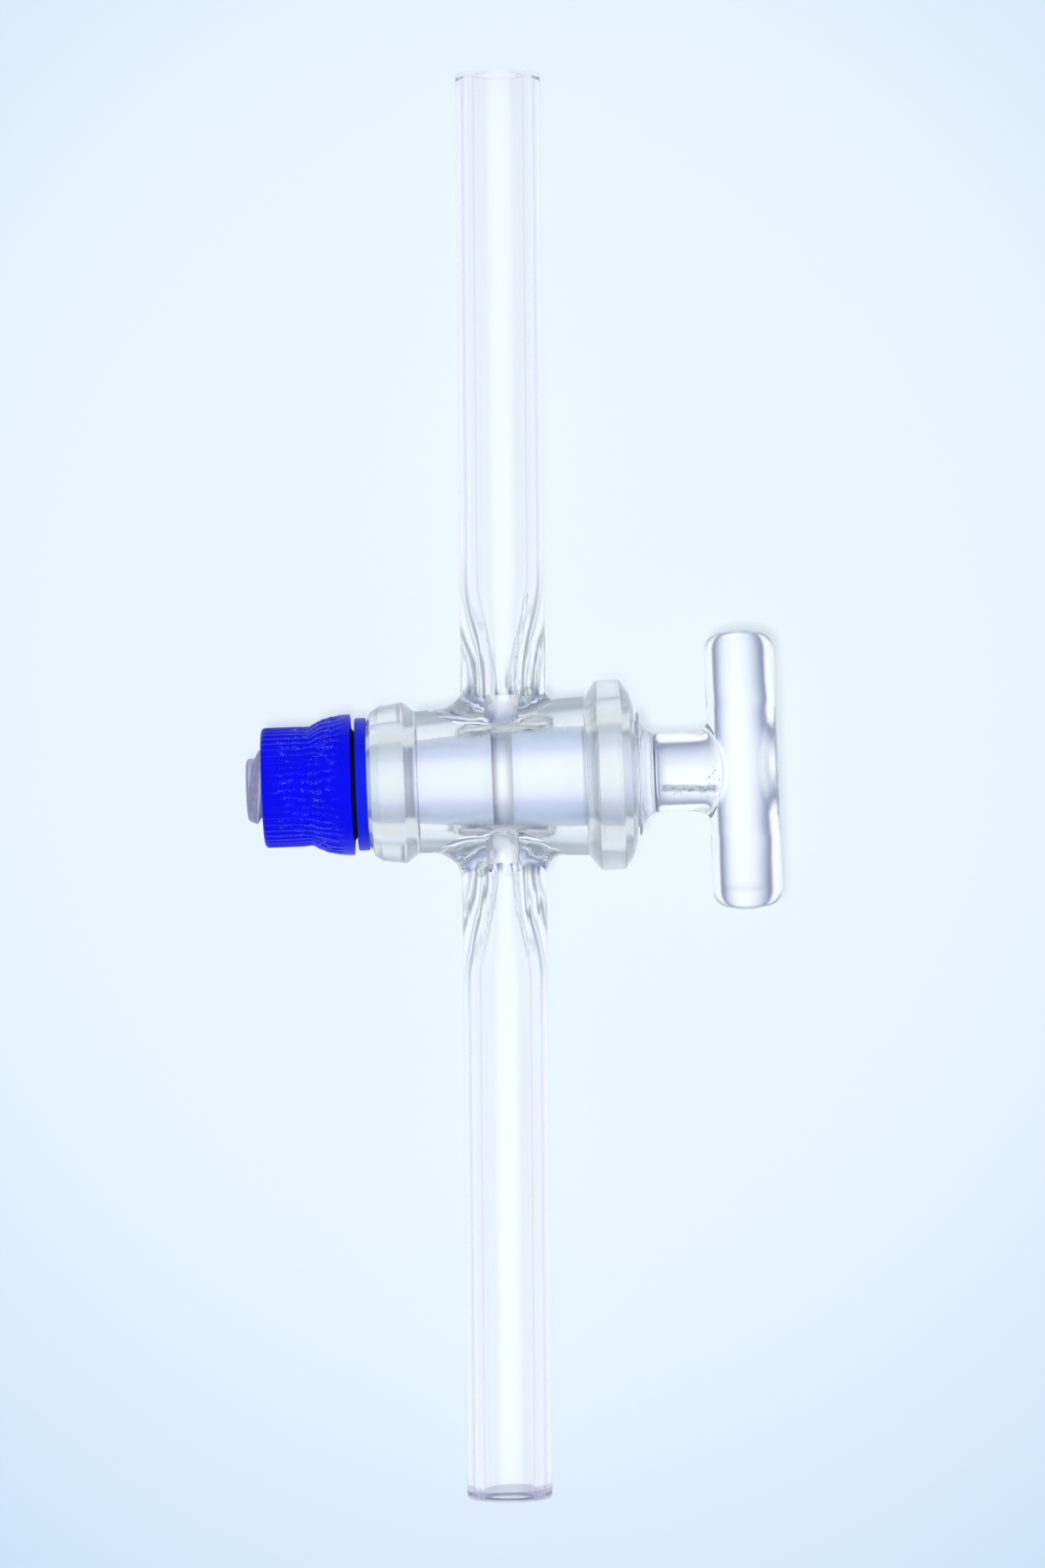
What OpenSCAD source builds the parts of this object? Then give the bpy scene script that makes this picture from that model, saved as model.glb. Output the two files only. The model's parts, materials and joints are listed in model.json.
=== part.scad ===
// Glass stopcock: a blown barrel with two tube arms, and a ground taper key with a bar
// handle. A nut, a rubber ring and a washer on the key's threaded end hold it in.
// The key lies along X with its nut at -X, the arms run along Y, and Z is up.
// The origin is under the middle of the whole part, at the height it rests on.

/* [Arms] */
// Outside diameter of both arms
arm_d = 10; // [9:0.1:12]
// Bore of both arms
arm_bore_d = 5.8; // [4.5:0.1:6.5]
// Bore where an arm runs into the barrel
neck_bore_d = 3; // [2.6:0.1:4]
// Length over which the bore narrows
neck_l = 13; // [6:1:20]
// Straight bore of the neck outside the barrel
neck_straight_l = 2; // [1:0.5:5]
// Length of the upper arm from the key axis
upper_arm_l = 82.6; // [60:0.1:120]
// Length of the lower arm from the key axis
lower_arm_l = 84.3; // [60:0.1:120]
// Lean of the arms from square to the key, in degrees
arm_lean = 1.7; // [0:0.1:3]
// Rounding of the fire-polished arm ends
arm_end_round = 0.6; // [0.3:0.1:0.9]
// Height of the melted root of an arm above the barrel
root_h = 3; // [1:0.5:5]
// How far the root spreads beyond the arm
root_spread = 1.3; // [0.5:0.1:1.8]

/* [Barrel] */
// Distance from the arms' axis to the small end face
small_end_x = 15.9; // [14:0.1:20]
// Distance from the arms' axis to the large end face
large_end_x = 15.4; // [14:0.1:20]
// Thickness of the barrel's glass wall
barrel_wall = 3.3; // [2.5:0.1:4]
// Height of the bead at the small end
small_bead_h = 1.15; // [0.5:0.05:2]
// Height of the bead at the large end
large_bead_h = 1.7; // [0.5:0.05:2.5]
// Length of the crown of each bead
bead_l = 2.8; // [1.5:0.1:4]
// Length of the slope from a bead to the wall
bead_slope_l = 1.4; // [0.5:0.1:2]
// Length of the rounded edge from a bead to its end face
bead_edge_l = 1.5; // [0.5:0.1:2]
// Drop of the rounded edge below the small bead
small_edge_drop = 2; // [0.5:0.1:2.2]
// Drop of the rounded edge below the large bead
large_edge_drop = 3; // [0.5:0.1:3.2]

/* [Key] */
// Diameter of the ground taper at the large end of the barrel
key_d = 12.5; // [11:0.1:14]
// Loss of diameter per length along the ground taper
key_taper = 0.1; // [0.05:0.01:0.12]
// Cross bore through the key
key_bore_d = 2.5; // [1.5:0.1:4]
// Distance that the taper ends short of the small end face
key_recess = 0.7; // [0.3:0.1:2]
// How far the collar stands out beyond the large end of the taper
collar_step = 1; // [0.5:0.1:2]
// Length of the collar's rim
collar_rim_l = 0.3; // [0.2:0.1:1]
// Length of the hollow slope from the collar to the stem
collar_slope_l = 2.2; // [1:0.1:3]
// Diameter of the stem
stem_d = 9.2; // [8.6:0.1:10]
// Step from the small end of the taper down to the thread's crests
thread_step = 0.2; // [0.1:0.05:1]
// Depth of the coarse thread, taken off the crests at the tip
thread_depth = 1.1; // [0.5:0.1:1.5]
// Length of thread that stands out of the nut
thread_end_l = 1.9; // [1:0.1:4]
// Length of the slope at the tip of the thread
thread_tip_l = 1.4; // [0.5:0.1:1.8]

/* [Handle bar] */
// Distance from the arms' axis to the bar's axis
bar_x = 28.1; // [26:0.1:36]
// Diameter of the bar
bar_d = 8.2; // [7:0.1:8.5]
// Length of the bar
bar_l = 32.8; // [26:0.1:45]
// Rounding of the bar's ends
bar_round = 2.3; // [1:0.1:3]
// How far the stem widens to each side where it melts into the bar
bar_root_spread = 1.15; // [0.5:0.05:2]
// Length of the stem's spread towards the bar
bar_root_l = 3; // [2:0.1:4]

/* [Nut, ring and washer] */
// Length of the nut
nut_l = 10.5; // [8:0.1:14]
// Wall of the nut's grip around the thread, to the crests of the ribs
grip_wall = 2.45; // [1.5:0.05:4]
// Length of the nut's grip
grip_l = 5.7; // [3:0.1:6.5]
// Number of ribs around the grip
rib_count = 48; // [24:1:60]
// Height of the ribs
rib_h = 0.12; // [0.05:0.01:0.3]
// Wall of the nut's flared rim around the rubber ring
rim_wall = 1.35; // [1:0.05:2.5]
// Rounding of the nut's outer edge
nut_round = 0.5; // [0.2:0.1:1]
// Thickness of the rubber ring's section
ring_t = 2.35; // [1.8:0.05:2.9]
// How far the rubber ring stands out of the nut
ring_show = 0.45; // [0.2:0.05:1]
// Width of the washer from its hole to its edge
washer_w = 3.2; // [2:0.1:4.5]
// Thickness of the washer
washer_t = 1.3; // [0.8:0.1:2.5]

/* [Clearances] */
// Gap all round between the key and its socket
taper_gap = 0.03; // [0.01:0.01:0.08]
// Gap all round between the thread and what is on it
thread_gap = 0.06; // [0.02:0.01:0.1]
// Gap between faces that turn on each other
face_gap = 0.03; // [0.01:0.01:0.1]
// Gap between the collar and the barrel's large end face
collar_gap = 0.3; // [0.1:0.05:0.8]

/* [Hidden] */
$fn = 96;
arc_steps = 8;
// Solids that cut or join others run this far past the faces where they meet.
cut = 1;
// Faces that would only just meet stand this far apart or into each other.
skin = 0.02;
// The nut's flare rises steeply and then levels out towards its rim.
flare_power = 2.3;
// A bead's edge bends at this share of its length from the end face.
edge_bend = 1 / 3;
// By there it has dropped this share of its whole drop, at the small and the large bead.
small_edge_bend_drop = 1 / 3;
large_edge_bend_drop = 1 / 2;
// The stem's spread is this share of the bar's thickness, and ends this share of its radius inside.
bar_root_share = 0.95;
bar_root_depth = 0.5;

arm_r = arm_d / 2;
bar_r = bar_d / 2;
stem_r = stem_d / 2;

// Radius of the ground taper at a place along the key.
function key_r(x) = key_d / 2 - (large_end_x - x) * key_taper / 2;
// Radius of the socket and of the barrel's outer wall at the same place.
function socket_r(x) = key_r(x) + taper_gap;
function wall_r(x) = socket_r(x) + barrel_wall;
// Ease from 0 to 1 with level ends, for the narrowing of the bore.
function ease(t) = t * t * (3 - 2 * t);
// Points [x, radius] along an arc about a centre, between two angles.
function arc(x, r, radius, from, to) = [
    for (i = [0:arc_steps])
        let (a = from + (to - from) * i / arc_steps)
        [x + radius * cos(a), r + radius * sin(a)]
];

key_small_x = -small_end_x + key_recess;
thread_r = key_r(key_small_x) - thread_step;
thread_hole_r = thread_r + thread_gap;
collar_x = large_end_x + collar_gap;
collar_r = key_r(large_end_x) + collar_step;

// The bead's crown lies on one radius, set by the wall in the middle of the crown.
small_bead_x = -small_end_x + bead_edge_l;
large_bead_x = large_end_x - bead_edge_l;
small_bead_r = wall_r(small_bead_x + bead_l / 2) + small_bead_h;
large_bead_r = wall_r(large_bead_x - bead_l / 2) + large_bead_h;

// Along -X the washer lies on the small end face, then the ring, then the nut.
washer_x = -small_end_x - face_gap;
ring_x = washer_x - washer_t - face_gap - ring_t / 2;
ring_r = thread_hole_r + ring_t / 2;
rim_x = washer_x - washer_t - face_gap - ring_show;
seat_x = ring_x - ring_t / 2 - face_gap;
seat_r = ring_r + ring_t / 2 + face_gap;
grip_r = thread_hole_r + grip_wall;
rim_r = seat_r + rim_wall;
nut_x = rim_x - nut_l;
thread_x = nut_x - thread_end_l;

// The whole part lies on the large bead, with the origin under its middle.
middle = [(bar_x + bar_r + thread_x) / 2, (upper_arm_l - lower_arm_l) / 2 * cos(arm_lean), -large_bead_r];

// Solid turned about X or about Y from points [place along the axis, radius].
module turn_x(points) {
    rotate([0, 90, 0]) rotate_extrude() polygon([for (p = points) [p[1], p[0]]]);
}
module turn_y(points) {
    rotate([-90, 0, 0]) rotate_extrude() polygon([for (p = points) [p[1], p[0]]]);
}

// The two arms lie on one line that leans from square to the key.
module at_each_arm() {
    rotate([0, 0, -arm_lean]) children(0);
    rotate([0, 0, 180 - arm_lean]) children(1);
}

// Glass of one arm with its melted root, from inside the barrel's wall to the open end.
module arm_solid(length) {
    middle_wall_r = wall_r(0);
    root_r = arm_r + root_spread;
    root_y = sqrt(pow(middle_wall_r, 2) - pow(root_r, 2));
    end_arc = arc(length - arm_end_round, arm_r - arm_end_round, arm_end_round, 90, 0);
    start_y = socket_r(0) / 2;
    turn_y(concat([[start_y, 0], [start_y, arm_r]], end_arc, [[length, 0]]));
    turn_y([[start_y, 0], [start_y, root_r], [root_y, root_r], [middle_wall_r + root_h, arm_r - skin],
        [middle_wall_r + root_h, 0]]);
}

// Bore of one arm, narrowing to the hole through the barrel's wall.
module arm_bore(length) {
    bore_r = arm_bore_d / 2;
    neck_r = neck_bore_d / 2;
    neck_y = wall_r(0) + neck_straight_l;
    narrowing = [
        for (i = [0:arc_steps])
            [neck_y + neck_l * i / arc_steps, neck_r + (bore_r - neck_r) * ease(i / arc_steps)]
    ];
    turn_y(concat([[0, 0], [0, neck_r]], narrowing, [[length + cut, bore_r], [length + cut, 0]]));
}

// Outer shape of the barrel, with a bead at each end.
module barrel_wall_solid() {
    small_wall_x = small_bead_x + bead_l + bead_slope_l;
    large_wall_x = large_bead_x - bead_l - bead_slope_l;
    turn_x([
        [-small_end_x, 0],
        [-small_end_x, small_bead_r - small_edge_drop],
        [-small_end_x + bead_edge_l * edge_bend, small_bead_r - small_edge_drop * small_edge_bend_drop],
        [small_bead_x, small_bead_r],
        [small_bead_x + bead_l, small_bead_r],
        [small_wall_x, wall_r(small_wall_x)],
        [large_wall_x, wall_r(large_wall_x)],
        [large_bead_x - bead_l, large_bead_r],
        [large_bead_x, large_bead_r],
        [large_end_x - bead_edge_l * edge_bend, large_bead_r - large_edge_drop * large_edge_bend_drop],
        [large_end_x, large_bead_r - large_edge_drop],
        [large_end_x, 0]
    ]);
}

// Ground taper socket, cut past both end faces.
module socket() {
    turn_x([
        [-small_end_x - cut, 0],
        [-small_end_x - cut, socket_r(-small_end_x - cut)],
        [large_end_x + cut, socket_r(large_end_x + cut)],
        [large_end_x + cut, 0]
    ]);
}

module barrel() {
    color([0.82, 0.9, 0.95]) difference() {
        union() {
            barrel_wall_solid();
            at_each_arm() { arm_solid(upper_arm_l); arm_solid(lower_arm_l); }
        }
        socket();
        at_each_arm() { arm_bore(upper_arm_l); arm_bore(lower_arm_l); }
    }
}

// Threaded end, ground plug, collar and stem, turned in one piece.
module key_turned() {
    slope_r = collar_r - stem_r;
    slope = [
        for (i = [0:arc_steps])
            let (a = 90 * i / arc_steps)
            [collar_x + collar_rim_l + collar_slope_l * (1 - cos(a)), stem_r + slope_r * (1 - sin(a))]
    ];
    turn_x(concat(
        [
            [thread_x, 0],
            [thread_x, thread_r - thread_depth],
            [thread_x + thread_tip_l, thread_r],
            [key_small_x, thread_r],
            [key_small_x, key_r(key_small_x)],
            [large_end_x, key_r(large_end_x)],
            [collar_x, key_r(large_end_x)],
            [collar_x, collar_r]
        ],
        slope,
        [[bar_x, stem_r], [bar_x, 0]]
    ));
}

// Stem spreading into the bar, no thicker up and down than the bar where they meet.
module bar_root() {
    root_x = bar_x - bar_r - bar_root_l;
    wide_r = stem_r + bar_root_spread;
    spread_l = bar_root_l + bar_r * bar_root_depth;
    flat_r = bar_r * bar_root_share;
    widening = [
        for (i = [0:arc_steps])
            let (a = 90 * i / arc_steps)
            [root_x + spread_l * sin(a), stem_r + bar_root_spread * (1 - cos(a))]
    ];
    intersection() {
        turn_x(concat([[root_x, 0]], widening, [[bar_x, wide_r], [bar_x, 0]]));
        rotate([90, 0, 0]) linear_extrude(height = 2 * wide_r + cut, center = true) polygon([
            [root_x - cut, stem_r + cut],
            [root_x, stem_r + skin],
            [bar_x, flat_r],
            [bar_x, -flat_r],
            [root_x, -stem_r - skin],
            [root_x - cut, -stem_r - cut]
        ]);
    }
}

// Bar handle with rounded ends, lying along Y.
module bar() {
    end_arc = arc(bar_l / 2 - bar_round, bar_r - bar_round, bar_round, 90, 0);
    half = concat([[0, 0], [0, bar_r]], end_arc, [[bar_l / 2, 0]]);
    translate([bar_x, 0, 0]) {
        turn_y(half);
        rotate([0, 0, 180]) turn_y(half);
    }
}

module key() {
    color([0.86, 0.93, 0.98]) difference() {
        union() {
            key_turned();
            bar_root();
            bar();
        }
        rotate([90, 0, 0]) cylinder(h = key_d + cut, d = key_bore_d, center = true);
    }
}

module washer() {
    color([0.05, 0.16, 0.93]) turn_x([
        [washer_x - washer_t, thread_hole_r],
        [washer_x - washer_t, thread_hole_r + washer_w],
        [washer_x, thread_hole_r + washer_w],
        [washer_x, thread_hole_r]
    ]);
}

module o_ring() {
    color([0.04, 0.04, 0.06]) translate([ring_x, 0, 0]) rotate([0, 90, 0]) rotate_extrude()
        translate([ring_r, 0]) circle(d = ring_t);
}

// Ribbed outline of the nut's grip, a crest and a hollow at each rib.
function rib_outline() = [
    for (i = [0:2 * rib_count - 1])
        let (a = 180 * i / rib_count, r = grip_r - (i % 2) * rib_h)
        [r * cos(a), r * sin(a)]
];

module nut() {
    flare_x = nut_x + grip_l;
    flare_r = grip_r + skin;
    ribs_l = grip_l + cut;
    flare = [
        for (i = [0:arc_steps])
            let (t = i / arc_steps)
            [flare_x + (nut_l - grip_l) * t, flare_r + (rim_r - flare_r) * (1 - pow(1 - t, flare_power))]
    ];
    grip_end = arc(nut_x + nut_round, grip_r + skin - nut_round, nut_round, 180, 90);
    around_grip = [
        [nut_x + nut_round, grip_r + cut],
        [nut_x + ribs_l + cut, grip_r + cut],
        [nut_x + ribs_l + cut, 0]
    ];
    color([0.03, 0.08, 0.9]) difference() {
        union() {
            intersection() {
                translate([nut_x, 0, 0]) rotate([0, 90, 0]) linear_extrude(height = ribs_l)
                    polygon(rib_outline());
                turn_x(concat([[nut_x, 0]], grip_end, around_grip));
            }
            turn_x(concat([[flare_x, 0]], flare, [[rim_x, 0]]));
        }
        turn_x([
            [nut_x - cut, 0],
            [nut_x - cut, thread_hole_r],
            [seat_x, thread_hole_r],
            [seat_x, seat_r],
            [rim_x + cut, seat_r],
            [rim_x + cut, 0]
        ]);
    }
}

module in_place() {
    translate(-middle) children();
}

in_place() barrel();
in_place() key();
in_place() washer();
in_place() o_ring();
in_place() nut();
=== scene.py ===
"""Glass stopcock: a barrel with two tube arms, a ground taper key, and the nut, ring and washer that hold it.

Sizes are in millimetres from the point where the arms' axis crosses the key's axis. X runs along the key towards
its handle, Y along the upper arm and Z up, so a ring round the key starts at +Y and turns towards +Z.
"""
import json
import logging
from dataclasses import dataclass
from enum import Enum
from math import cos, pi, radians, sin, sqrt, tan
from typing import Callable, Mapping, Sequence

import bmesh
import bpy
import numpy as np
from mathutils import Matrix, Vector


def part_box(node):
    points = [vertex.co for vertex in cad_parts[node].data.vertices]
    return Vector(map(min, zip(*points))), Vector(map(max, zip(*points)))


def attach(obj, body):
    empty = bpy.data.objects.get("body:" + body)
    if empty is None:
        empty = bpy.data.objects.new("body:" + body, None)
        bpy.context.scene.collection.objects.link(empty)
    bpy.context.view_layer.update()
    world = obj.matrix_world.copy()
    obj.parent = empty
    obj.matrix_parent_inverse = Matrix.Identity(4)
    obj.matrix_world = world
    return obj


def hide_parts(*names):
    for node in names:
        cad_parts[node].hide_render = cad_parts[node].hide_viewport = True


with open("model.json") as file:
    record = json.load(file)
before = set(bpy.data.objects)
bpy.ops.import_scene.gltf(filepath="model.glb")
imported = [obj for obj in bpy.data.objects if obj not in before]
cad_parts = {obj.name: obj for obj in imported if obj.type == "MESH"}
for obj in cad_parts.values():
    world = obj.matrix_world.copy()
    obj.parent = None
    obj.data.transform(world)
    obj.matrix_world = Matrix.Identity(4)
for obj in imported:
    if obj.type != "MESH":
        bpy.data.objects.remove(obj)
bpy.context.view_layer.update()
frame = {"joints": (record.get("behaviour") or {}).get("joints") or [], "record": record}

LOG = logging.getLogger("stopcock")

MM = 0.001
FULL_TURN = 2 * pi
JOINTS = {joint["name"]: joint for joint in frame["joints"]}
MOUNTS = {mount["name"]: mount for mount in frame["record"]["mounts"]}
KEY_CENTRE = np.array(JOINTS["key_turn"]["pos_m"])

Range = tuple[float, float]
Shade = tuple[int, int, int]
Stops = tuple[tuple[float, Shade], ...]
Profile = list[tuple[float, float]]
Radius = Callable[[np.ndarray], np.ndarray]
Surface = Callable[[np.ndarray, np.ndarray], np.ndarray]

WHITE: Shade = (255, 255, 255)
COLOURLESS: Shade = (253, 254, 254)


def span(node: str, axis: int) -> Range:
    """Measures a CAD node along one axis.

    Args:
        node: The CAD node's name.
        axis: 0, 1 or 2 for X, Y or Z.

    Returns:
        Its lowest and highest place, in mm from the key's centre.
    """
    low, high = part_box(node)
    return (low[axis] - KEY_CENTRE[axis]) / MM, (high[axis] - KEY_CENTRE[axis]) / MM


def linear(shade: Shade) -> tuple[float, ...]:
    """Turns a shade as it is seen, from 0 to 255, into the colour as it is lit."""
    parts = (level / 255 for level in shade)
    return (*(part / 12.92 if part <= 0.04045 else ((part + 0.055) / 1.055) ** 2.4 for part in parts), 1.0)


def ease(share: np.ndarray | float) -> np.ndarray | float:
    """Eases a share from 0 to 1 with level ends."""
    share = np.clip(share, 0, 1)
    return share * share * (3 - 2 * share)


# ---------------------------------------------------------------- shader nodes


class Value:
    """One output of a shader node, on which sums are written as plain expressions."""

    def __init__(self, graph: "Graph", socket: bpy.types.NodeSocket | None) -> None:
        """Keeps the socket and the graph that it is in."""
        self.graph = graph
        self.socket = socket

    def __add__(self, other: "Value | float") -> "Value":
        """This value plus another."""
        return self.graph.math("ADD", self, other)

    __radd__ = __add__

    def __sub__(self, other: "Value | float") -> "Value":
        """This value less another."""
        return self.graph.math("SUBTRACT", self, other)

    def __rsub__(self, other: float) -> "Value":
        """A number less this value."""
        return self.graph.math("SUBTRACT", other, self)

    def __mul__(self, other: "Value | float") -> "Value":
        """This value times another."""
        return self.graph.math("MULTIPLY", self, other)

    __rmul__ = __mul__

    def __pow__(self, power: float) -> "Value":
        """This value raised to a power."""
        return self.graph.math("POWER", self, power)

    def __abs__(self) -> "Value":
        """This value without its sign."""
        return self.graph.math("ABSOLUTE", self)


class Graph:
    """Adds nodes to the node tree of one material or of the world."""

    def __init__(self, tree: bpy.types.NodeTree) -> None:
        """Starts from an empty tree."""
        self.tree = tree
        tree.nodes.clear()

    def node(
        self,
        kind: str,
        settings: Mapping[str, object] | None = None,
        sockets: Mapping[int | str, object] | None = None,
        output: int | str = 0,
    ) -> Value:
        """Adds one node.

        Args:
            kind: Blender's type name of the node.
            settings: The node's own settings, set before its sockets. "stops" are a ramp's places and colours.
            sockets: A value or a link for each input socket that is used.
            output: The output that the result stands for.

        Returns:
            That output.
        """
        node = self.tree.nodes.new(kind)
        for name, setting in (settings or {}).items():
            if name == "stops":
                self.set_stops(node.color_ramp.elements, setting)
            else:
                setattr(node, name, setting)
        for key, value in (sockets or {}).items():
            if isinstance(value, Value):
                self.tree.links.new(value.socket, node.inputs[key])
            else:
                node.inputs[key].default_value = value
        return Value(self, node.outputs[output] if node.outputs else None)

    def set_stops(
        self, elements: bpy.types.ColorRampElements, stops: Sequence[tuple[float, tuple[float, ...]]]
    ) -> None:
        """Sets the stops of a ramp.

        Args:
            elements: The ramp's own stops, of which it starts with two.
            stops: The place from 0 to 1 and the colour of each stop, in order.
        """
        while len(elements) < len(stops):
            elements.new(1.0)
        for element, (place, colour) in zip(elements, stops):
            element.position, element.color = place, colour

    def math(self, operation: str, *terms: Value | float) -> Value:
        """Works out one sum, by Blender's name of the operation."""
        return self.node("ShaderNodeMath", {"operation": operation}, dict(enumerate(terms)))

    def mix(self, share: Value | float, first: object, second: object, blend: str = "MIX") -> Value:
        """Mixes two colours.

        Args:
            share: How much of the second colour there is.
            first: The first colour, or a link to one.
            second: The second colour, or a link to one.
            blend: Blender's name of the way to blend.

        Returns:
            The mixed colour.
        """
        settings = {"data_type": "RGBA", "blend_type": blend}
        return self.node("ShaderNodeMix", settings, {0: share, 6: first, 7: second}, 2)

    def either(self, share: Value, first: Value, second: Value) -> Value:
        """Mixes two shaders, by how much there is of the second."""
        return self.node("ShaderNodeMixShader", None, {0: share, 1: first, 2: second})

    def coloured(self, kind: str, shade: Shade) -> Value:
        """Adds a plain shader of one shade, such as a Diffuse or a Transparent one."""
        return self.node(kind, None, {"Color": linear(shade)})

    def opaque(self, sockets: Mapping[str, object]) -> Value:
        """Adds the shader of a solid that lets no light through."""
        return self.node("ShaderNodeBsdfPrincipled", None, sockets)

    def ray(self, kind: str) -> Value:
        """Tells whether the light path is of one kind, 1 or 0."""
        return self.node("ShaderNodeLightPath", output=f"Is {kind} Ray")

    def lean(self) -> Value:
        """Measures how far a surface leans away from the one who looks at it, from 0 to 1."""
        return self.node("ShaderNodeLayerWeight", None, {"Blend": 0.5}, "Facing")

    def at(self) -> Value:
        """Measures where a point of a piece is.

        Returns:
            Its place in mm from the key's centre, as a vector.
        """
        point = self.node("ShaderNodeTexCoord", output="Object")
        offset = self.node("ShaderNodeVectorMath", {"operation": "SUBTRACT"}, {0: point, 1: tuple(KEY_CENTRE)})
        return self.node("ShaderNodeVectorMath", {"operation": "SCALE"}, {0: offset, "Scale": 1 / MM})

    def place(self) -> list[Value]:
        """Splits a point's place into X, Y and Z."""
        at = self.at()
        return [self.node("ShaderNodeSeparateXYZ", None, {0: at}, axis) for axis in range(3)]

    def vector(self, x: Value | float, y: Value | float, z: Value | float) -> Value:
        """Joins three numbers into a vector."""
        return self.node("ShaderNodeCombineXYZ", None, {0: x, 1: y, 2: z})

    def noise(self, at: Value, scale: float, detail: float) -> Value:
        """Adds soft noise from 0 to 1, by its waves per unit and its count of finer octaves."""
        return self.node("ShaderNodeTexNoise", None, {"Vector": at, "Scale": scale, "Detail": detail})

    def grain(self, along_key: float, across: float, detail: float) -> Value:
        """Adds soft noise that is stretched out along or round the key.

        Args:
            along_key: Its waves per mm along the key.
            across: Its waves per mm across the key.
            detail: How many finer octaves it has.

        Returns:
            A level from 0 to 1.
        """
        x, y, z = self.place()
        return self.noise(self.vector(x * along_key, y * across, z * across), 1.0, detail)

    def bump(self, height: Value, depth: float) -> Value:
        """Turns a height from 0 to 1 into a normal, by the depth in metres."""
        return self.node("ShaderNodeBump", None, {"Strength": 1.0, "Distance": depth, "Height": height})

    def between(self, value: Value, low: float, high: float, kind: str = "SMOOTHSTEP") -> Value:
        """Measures how far a value has come between two others.

        Args:
            value: The value.
            low: Where it starts.
            high: Where it ends.
            kind: Blender's name of the way it goes between them.

        Returns:
            A share from 0 to 1.
        """
        sockets = {"Value": value, "From Min": low, "From Max": high, "To Min": 0.0, "To Max": 1.0}
        return self.node("ShaderNodeMapRange", {"interpolation_type": kind}, sockets)

    def ramp(self, level: Value, stops: Stops) -> Value:
        """Gives a shade for each level.

        Args:
            level: The level.
            stops: Each stop's level and its shade, with the levels rising.

        Returns:
            The colour.
        """
        low, high = stops[0][0], stops[-1][0]
        if (low, high) != (0, 1):
            level = self.between(level, low, high, "LINEAR")
        shares = [((place - low) / (high - low), linear(shade)) for place, shade in stops]
        return self.node("ShaderNodeValToRGB", {"stops": shares}, {0: level})


# ---------------------------------------------------------------- finishes


class Finish:
    """A finish that a piece is given."""

    name: str

    def dress(self, graph: Graph) -> Value:
        """Builds the finish's shader."""
        raise NotImplementedError

    def material(self) -> bpy.types.Material:
        """Makes the material, once.

        Returns:
            The material of this finish.
        """
        if self.name not in bpy.data.materials:
            material = bpy.data.materials.new(self.name)
            material.use_nodes = True
            graph = Graph(material.node_tree)
            graph.node("ShaderNodeOutputMaterial", None, {"Surface": self.dress(graph)})
        return bpy.data.materials[self.name]


@dataclass(frozen=True)
class Glass(Finish):
    """Clear borosilicate glass. Its shadow is pale in the middle and dark at the rim, where it bends the light away."""

    name: str = "clear glass"
    tint: Shade = COLOURLESS
    roughness: float = 0.0
    shadow_rim: Shade = (64, 98, 164)
    rim: Range = (0.01, 0.36)
    ior: float = 1.473

    def shader(
        self, graph: Graph, varying: Mapping[str, object], veil: tuple[Value, Shade] | None = None
    ) -> Value:
        """Builds the glass shader.

        Args:
            graph: The graph that it goes into.
            varying: Socket values or links that differ from plain clear glass.
            veil: How much of a milky skin lies over it, and the skin's shade.

        Returns:
            The shader.
        """
        sockets = {
            "Base Color": linear(self.tint),
            "Roughness": self.roughness,
            "IOR": self.ior,
            "Transmission Weight": 1.0,
            **varying,
        }
        glass = graph.node("ShaderNodeBsdfPrincipled", {"distribution": "GGX"}, sockets)
        if veil:
            share, shade = veil
            glass = graph.either(share, glass, graph.coloured("ShaderNodeBsdfDiffuse", shade))
        core, rim = (graph.coloured("ShaderNodeBsdfTransparent", shade) for shade in (WHITE, self.shadow_rim))
        shadow = graph.either(graph.between(graph.lean(), *self.rim, "LINEAR"), core, rim)
        return graph.either(graph.ray("Shadow"), glass, shadow)

    def dress(self, graph: Graph) -> Value:
        """Plain clear glass."""
        return self.shader(graph, {})


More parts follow.
